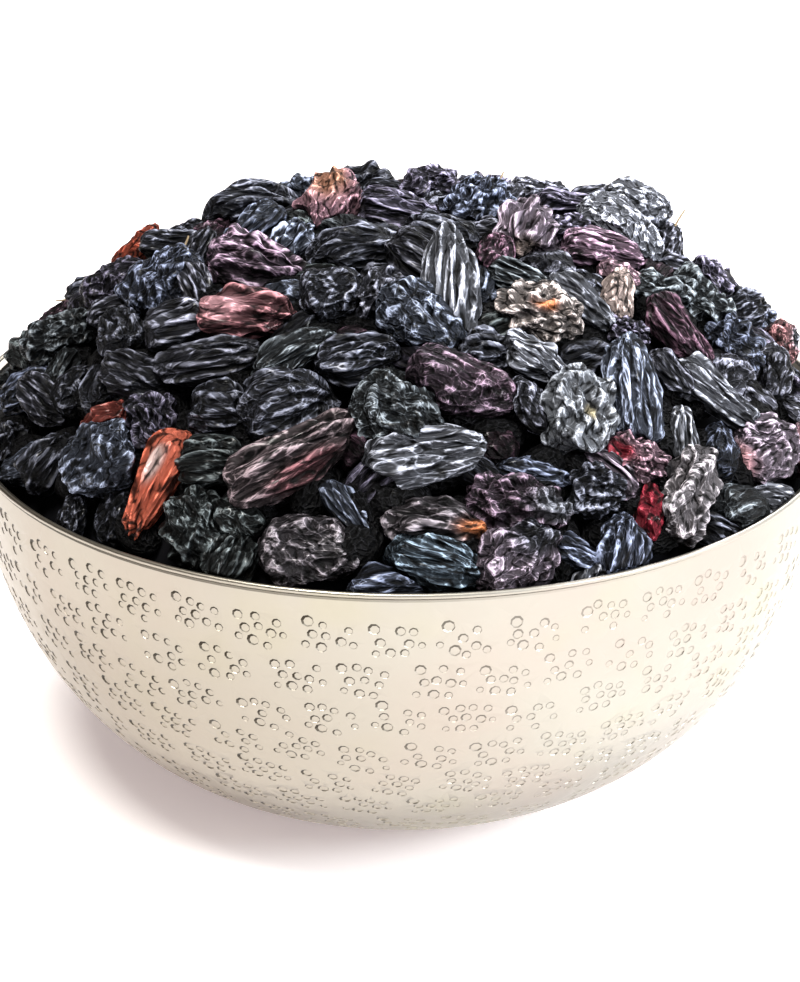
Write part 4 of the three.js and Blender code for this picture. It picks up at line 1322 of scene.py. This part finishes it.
# Floor, lights and the white surroundings: lamps as place, size, power and colour, all aimed at the heap
studio = {
    "floor": 3.0, "floorShade": (0.95, 0.93575, 0.93575, 1), "floorRoughness": 0.9, "glow": 0.33,
    "glowColour": (1.0, 0.85, 0.87, 1), "up": (-0.1, 0.8), "low": 0.43, "top": 0.85, "across": (-0.6, 1.0),
    "left": 0.08, "right": 2.9, "warmAcross": (-0.9, 0.3), "warm": (1.0, 0.81, 0.61, 1), "aim": (0, 0, 0.06),
    "white": (1.0, 1.0, 1.0, 1),
}
lamps = {
    "key": ((0.62, -0.35, 0.40), 0.26, 5.0, (0.93, 0.97, 1.0)),
    "over": ((-0.16, -0.31, 0.82), 0.30, 8.4, (1.0, 0.97, 0.91)),
    "behind": ((0.30, 0.52, 0.62), 0.35, 3.6, (0.97, 0.98, 1.0)),
}


def makeFloor():
    build = bmesh.new()
    bmesh.ops.create_grid(build, x_segments=1, y_segments=1, size=studio["floor"])
    floor = addObject("floor", meshOf(build, "floor"))
    material, tree = newMaterial("floorWhite")
    finishMaterial(tree, {
        "Base Color": studio["floorShade"], "Roughness": studio["floorRoughness"],
        "Emission Color": studio["glowColour"], "Emission Strength": studio["glow"],
    })
    floor.data.materials.append(material)


# White for the camera, and a dimmer dome for the light that falls on things
def makeWorld():
    world = bpy.data.worlds.new("studio")
    bpy.context.scene.world = world
    world.use_nodes = True
    world.node_tree.nodes.clear()
    sky = Tree(world.node_tree)
    way = sky.add("ShaderNodeTexCoord", {}, {}, "Generated")
    right = sky.add("ShaderNodeSeparateXYZ", {}, {0: way}, "X")
    up = sky.add("ShaderNodeSeparateXYZ", {}, {0: way}, "Z")
    dome = sky.ramp(up, *studio["up"], studio["low"], studio["top"])
    dome = dome * sky.ramp(right, *studio["across"], studio["left"], studio["right"])
    seen = sky.add("ShaderNodeLightPath", {}, {}, "Is Camera Ray")
    colour = sky.mix(sky.ramp(right, *studio["warmAcross"]), studio["warm"], studio["white"])
    colour = sky.mix(seen, colour, studio["white"])
    light = sky.add("ShaderNodeBackground", {}, {"Color": colour, "Strength": seen + (1 - seen) * dome})
    sky.add("ShaderNodeOutputWorld", {}, {"Surface": light})


def makeLamps():
    for name, (spot, size, power, colour) in lamps.items():
        data = bpy.data.lights.new(name, "AREA")
        data.shape = "DISK"
        data.size = size
        data.energy = power
        data.color = colour
        lamp = addObject(name, data)
        lamp.location = spot
        lamp.rotation_mode = "QUATERNION"
        lamp.rotation_quaternion = (Vector(spot) - Vector(studio["aim"])).to_track_quat("Z", "Y")


makeFloor()
makeWorld()
makeLamps()
settings = bpy.context.scene.view_settings
settings.view_transform = "Standard"
settings.look = "None"
